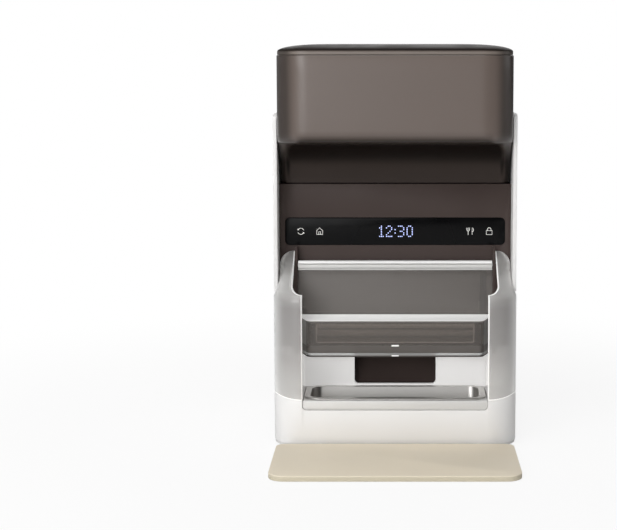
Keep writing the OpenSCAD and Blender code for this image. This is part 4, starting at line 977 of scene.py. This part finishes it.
def strokes(name, lines, width, y=displayFront):
    # flat strokes standing at depth y, from lines of (x, z) points in millimetres
    curve = bpy.data.curves.new(name, "CURVE")
    curve.dimensions = "3D"
    curve.bevel_depth, curve.bevel_resolution = width / 2 * mm, 2
    curve.use_fill_caps = True
    for line in lines:
        closed = line[0] == line[-1]
        line = line[:-1] if closed else line
        spline = curve.splines.new("POLY")
        spline.points.add(len(line) - 1)
        spline.use_cyclic_u = closed
        for point, (x, z) in zip(spline.points, line):
            point.co = (x * mm, 0, z * mm, 1)
    drawn = bpy.data.objects.new(name + "Curve", curve)
    bpy.context.scene.collection.objects.link(drawn)
    graph = bpy.context.evaluated_depsgraph_get()
    mesh = bpy.data.meshes.new_from_object(drawn.evaluated_get(graph))
    bpy.data.objects.remove(drawn)
    mesh.transform(Matrix.Translation((0, y * mm, 0)) @ Matrix.Diagonal((1, 0.15, 1, 1)))
    piece = bpy.data.objects.new(name, mesh)
    bpy.context.scene.collection.objects.link(piece)
    return piece


def againLines(x, z, r=2.7, sweep=140, head=1.2):
    # feeding again: two arrows in a ring
    lines = []
    for start in (20, 200):
        arc = arcLine(x, z, r, start, start + sweep)
        lines.append(arc)
        tipX, tipZ = arc[-1]
        for turn in (150, 215):
            a = math.radians(start + sweep + 90 + turn)
            lines.append([(tipX, tipZ), (tipX + head * math.cos(a), tipZ + head * math.sin(a))])
    return lines


def homeLines(x, z, half=2.6, foot=2.8, eaves=0.6, ridge=3.1, door=0.8, head=-0.4):
    # a small house
    walls = [(x - half, z - foot), (x + half, z - foot), (x + half, z + eaves), (x, z + ridge),
             (x - half, z + eaves)]
    doorway = [(x - door, z - foot), (x - door, z + head), (x + door, z + head), (x + door, z - foot)]
    return [walls + walls[:1], doorway]


def cutleryLines(x, z, fork=1.9, tine=1.1, root=1.3, half=3.1):
    # fork and knife
    handle = [(x - fork, z - half), (x - fork, z + root - tine)]
    lines = [handle, arcLine(x - fork, z + root, tine, 180, 360, 8)]
    lines += [[(x - fork + d, z + root), (x - fork + d, z + half)] for d in (-tine, 0, tine)]
    knife = [(1.6, -half), (1.6, half), (2.7, 2.2), (2.8, 0.2), (1.7, -0.2)]
    return lines + [[(x + dx, z + dz) for dx, dz in knife]]


def lockLines(x, z, half=2.5, low=2.9, high=0.6, bow=1.6, bowUp=1.5):
    # padlock
    case = [(x - half, z - low), (x + half, z - low), (x + half, z + high), (x - half, z + high)]
    shackle = arcLine(x, z + bowUp, bow, 180, 0)
    return [case + case[:1], [(x - bow, z + high)] + shackle + [(x + bow, z + high)]]


def symbolLines():
    z, at = display["z"], symbolAt
    return (againLines(at["again"], z) + homeLines(at["home"], z) + cutleryLines(at["cutlery"], z)
            + lockLines(at["lock"], z))


keep(strokes("symbols", symbolLines(), symbolAt["width"]), "display_window", finish=icons)
print("display: dots and symbols")


# small marks: frame round the reader bar, dashes on the visor and its seal, ribs in the top bar

def roundedLine(half, low, high, r):
    line = []
    for cx, cz, start in ((half - r, low + r, -90), (half - r, high - r, 0), (r - half, high - r, 90),
                          (r - half, low + r, 180)):
        line += arcLine(cx, cz, r, start, start + 90, 5)
    return line + line[:1]


reader = {"half": 69.2, "low": 82.6, "high": 98.0, "r": 1.6, "width": 0.8}
readerLine = roundedLine(reader["half"], reader["low"], reader["high"], reader["r"])
readerFrame = strokes("reader_frame", [readerLine], reader["width"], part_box("reader_bar_cover")[0].y / mm)
keep(readerFrame, "reader_bar_cover", finish=frameGrey)

dashes = {
    "visor_mark": {"on": "visor", "half": 3.1, "z": 86.7, "width": 1.2},
    "seal_mark": {"on": "visor_seal", "half": 3.0, "z": 77.9, "width": 0.8},
}
for name, dash in dashes.items():
    line = [(-dash["half"], dash["z"]), (dash["half"], dash["z"])]
    keep(strokes(name, [line], dash["width"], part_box(dash["on"])[0].y / mm), dash["on"], finish=markWhite)

rib = {"half": 1.3, "out": 0.3, "up": 0.45, "flat": 0.5, "pitch": 32.7, "z": 152.35, "y": -9.75, "each": 2}


def ribShape():
    # a short bar along X with its front edges sloped
    section = ((rib["out"], -1), (-rib["out"], -rib["flat"]), (-rib["out"], rib["flat"]), (rib["out"], 1))
    corners = [Vector((x * rib["half"], y, z * rib["up"])) * mm for x in (-1, 1) for y, z in section]
    sides = [(i, (i + 1) % 4, (i + 1) % 4 + 4, i + 4) for i in range(4)]
    return turnOut(newPiece("ribShape", corners, sides + [(3, 2, 1, 0), (4, 5, 6, 7)]))


places = [(k * rib["pitch"], rib["y"], rib["z"]) for k in range(-rib["each"], rib["each"] + 1)]
keep(repeatPiece("bar_ribs", places, ribShape()), "visor_top_bar", finish=barWhite)


# fasteners and feet: one shape cut from the CAD set, set again at every place

def oneOf(node, edge):
    # the first of a node's like shapes, moved to the origin, and the middle of each of them
    shape = softCopy(node, edge)
    work = bmesh.new()
    work.from_mesh(shape.data)
    left, middles, first = set(work.verts), [], None
    while left:
        group, queue = set(), [min(left, key=lambda v: v.index)]
        while queue:
            vert = queue.pop()
            if vert not in group:
                group.add(vert)
                queue += [link.other_vert(vert) for link in vert.link_edges]
        left -= group
        low = Vector([min(v.co[k] for v in group) for k in range(3)])
        high = Vector([max(v.co[k] for v in group) for k in range(3)])
        middles.append((low + high) / 2)
        first = first or group
    bmesh.ops.delete(work, geom=[v for v in work.verts if v not in first], context="VERTS")
    bmesh.ops.translate(work, verts=work.verts, vec=-middles[0])
    work.to_mesh(shape.data)
    work.free()
    return shape, [middle / mm for middle in middles]


repeated = {
    "rear_screws": {"edge": 0.15, "axis": (0, 1, 0), "spin": 1.4},
    "base_screws": {"edge": 0.15, "axis": (0, 0, 1), "spin": 1.4},
    "chassis_screws": {"edge": 0.2, "axis": (0, 0, 1), "spin": 0.0},
    "rubber_feet": {"edge": 0.4, "axis": (0, 0, 1), "spin": 0.0},
}
for node, made in repeated.items():
    shape, places = oneOf(node, made["edge"])
    keep(repeatPiece(node + "_set", places, shape, spin=made["spin"], axis=made["axis"]), stands=[node])
    print(node + ":", len(places))


# mouldings that keep the CAD shape, with their edges broken

broken = {
    "base_shell": 0.6, "bowl_tray": 1.0, "bay_back_wall": 0.7, "side_shell_left": 0.8,
    "side_shell_right": 0.8, "rear_cover": 0.5, "electronics_housing": 0.5, "display_window": 0.35,
    "guide_rail_left": 0.3, "guide_rail_right": 0.3, "visor": 0.45, "visor_seal": 0.3,
    "chute_duct": 0.3, "battery_door": 0.4, "bottom_cover": 0.4, "power_inlet": 0.3, "visor_rack": 0.1,
    "reset_button": 0.3, "bowl": 0.35, "mat": 0.45, "reader_bar_cover": 0.3,
}
ownFinish = {"bay_back_wall": bayWhite, "bowl_tray": trayWhite, "bottom_cover": trayWhite,
             "reader_bar_cover": readerGrey, "visor_rack": rackGrey}
for node, edge in broken.items():
    keep(softCopy(node, edge), stands=[node], finish=ownFinish.get(node))
print("mouldings:", len(broken))

# the CAD nodes that still show take their slot's finish
for name, node in frame["nodes"].items():
    if not node.hide_render:
        node.data.materials.clear()
        node.data.materials.append(finishes[slotOf[name]])
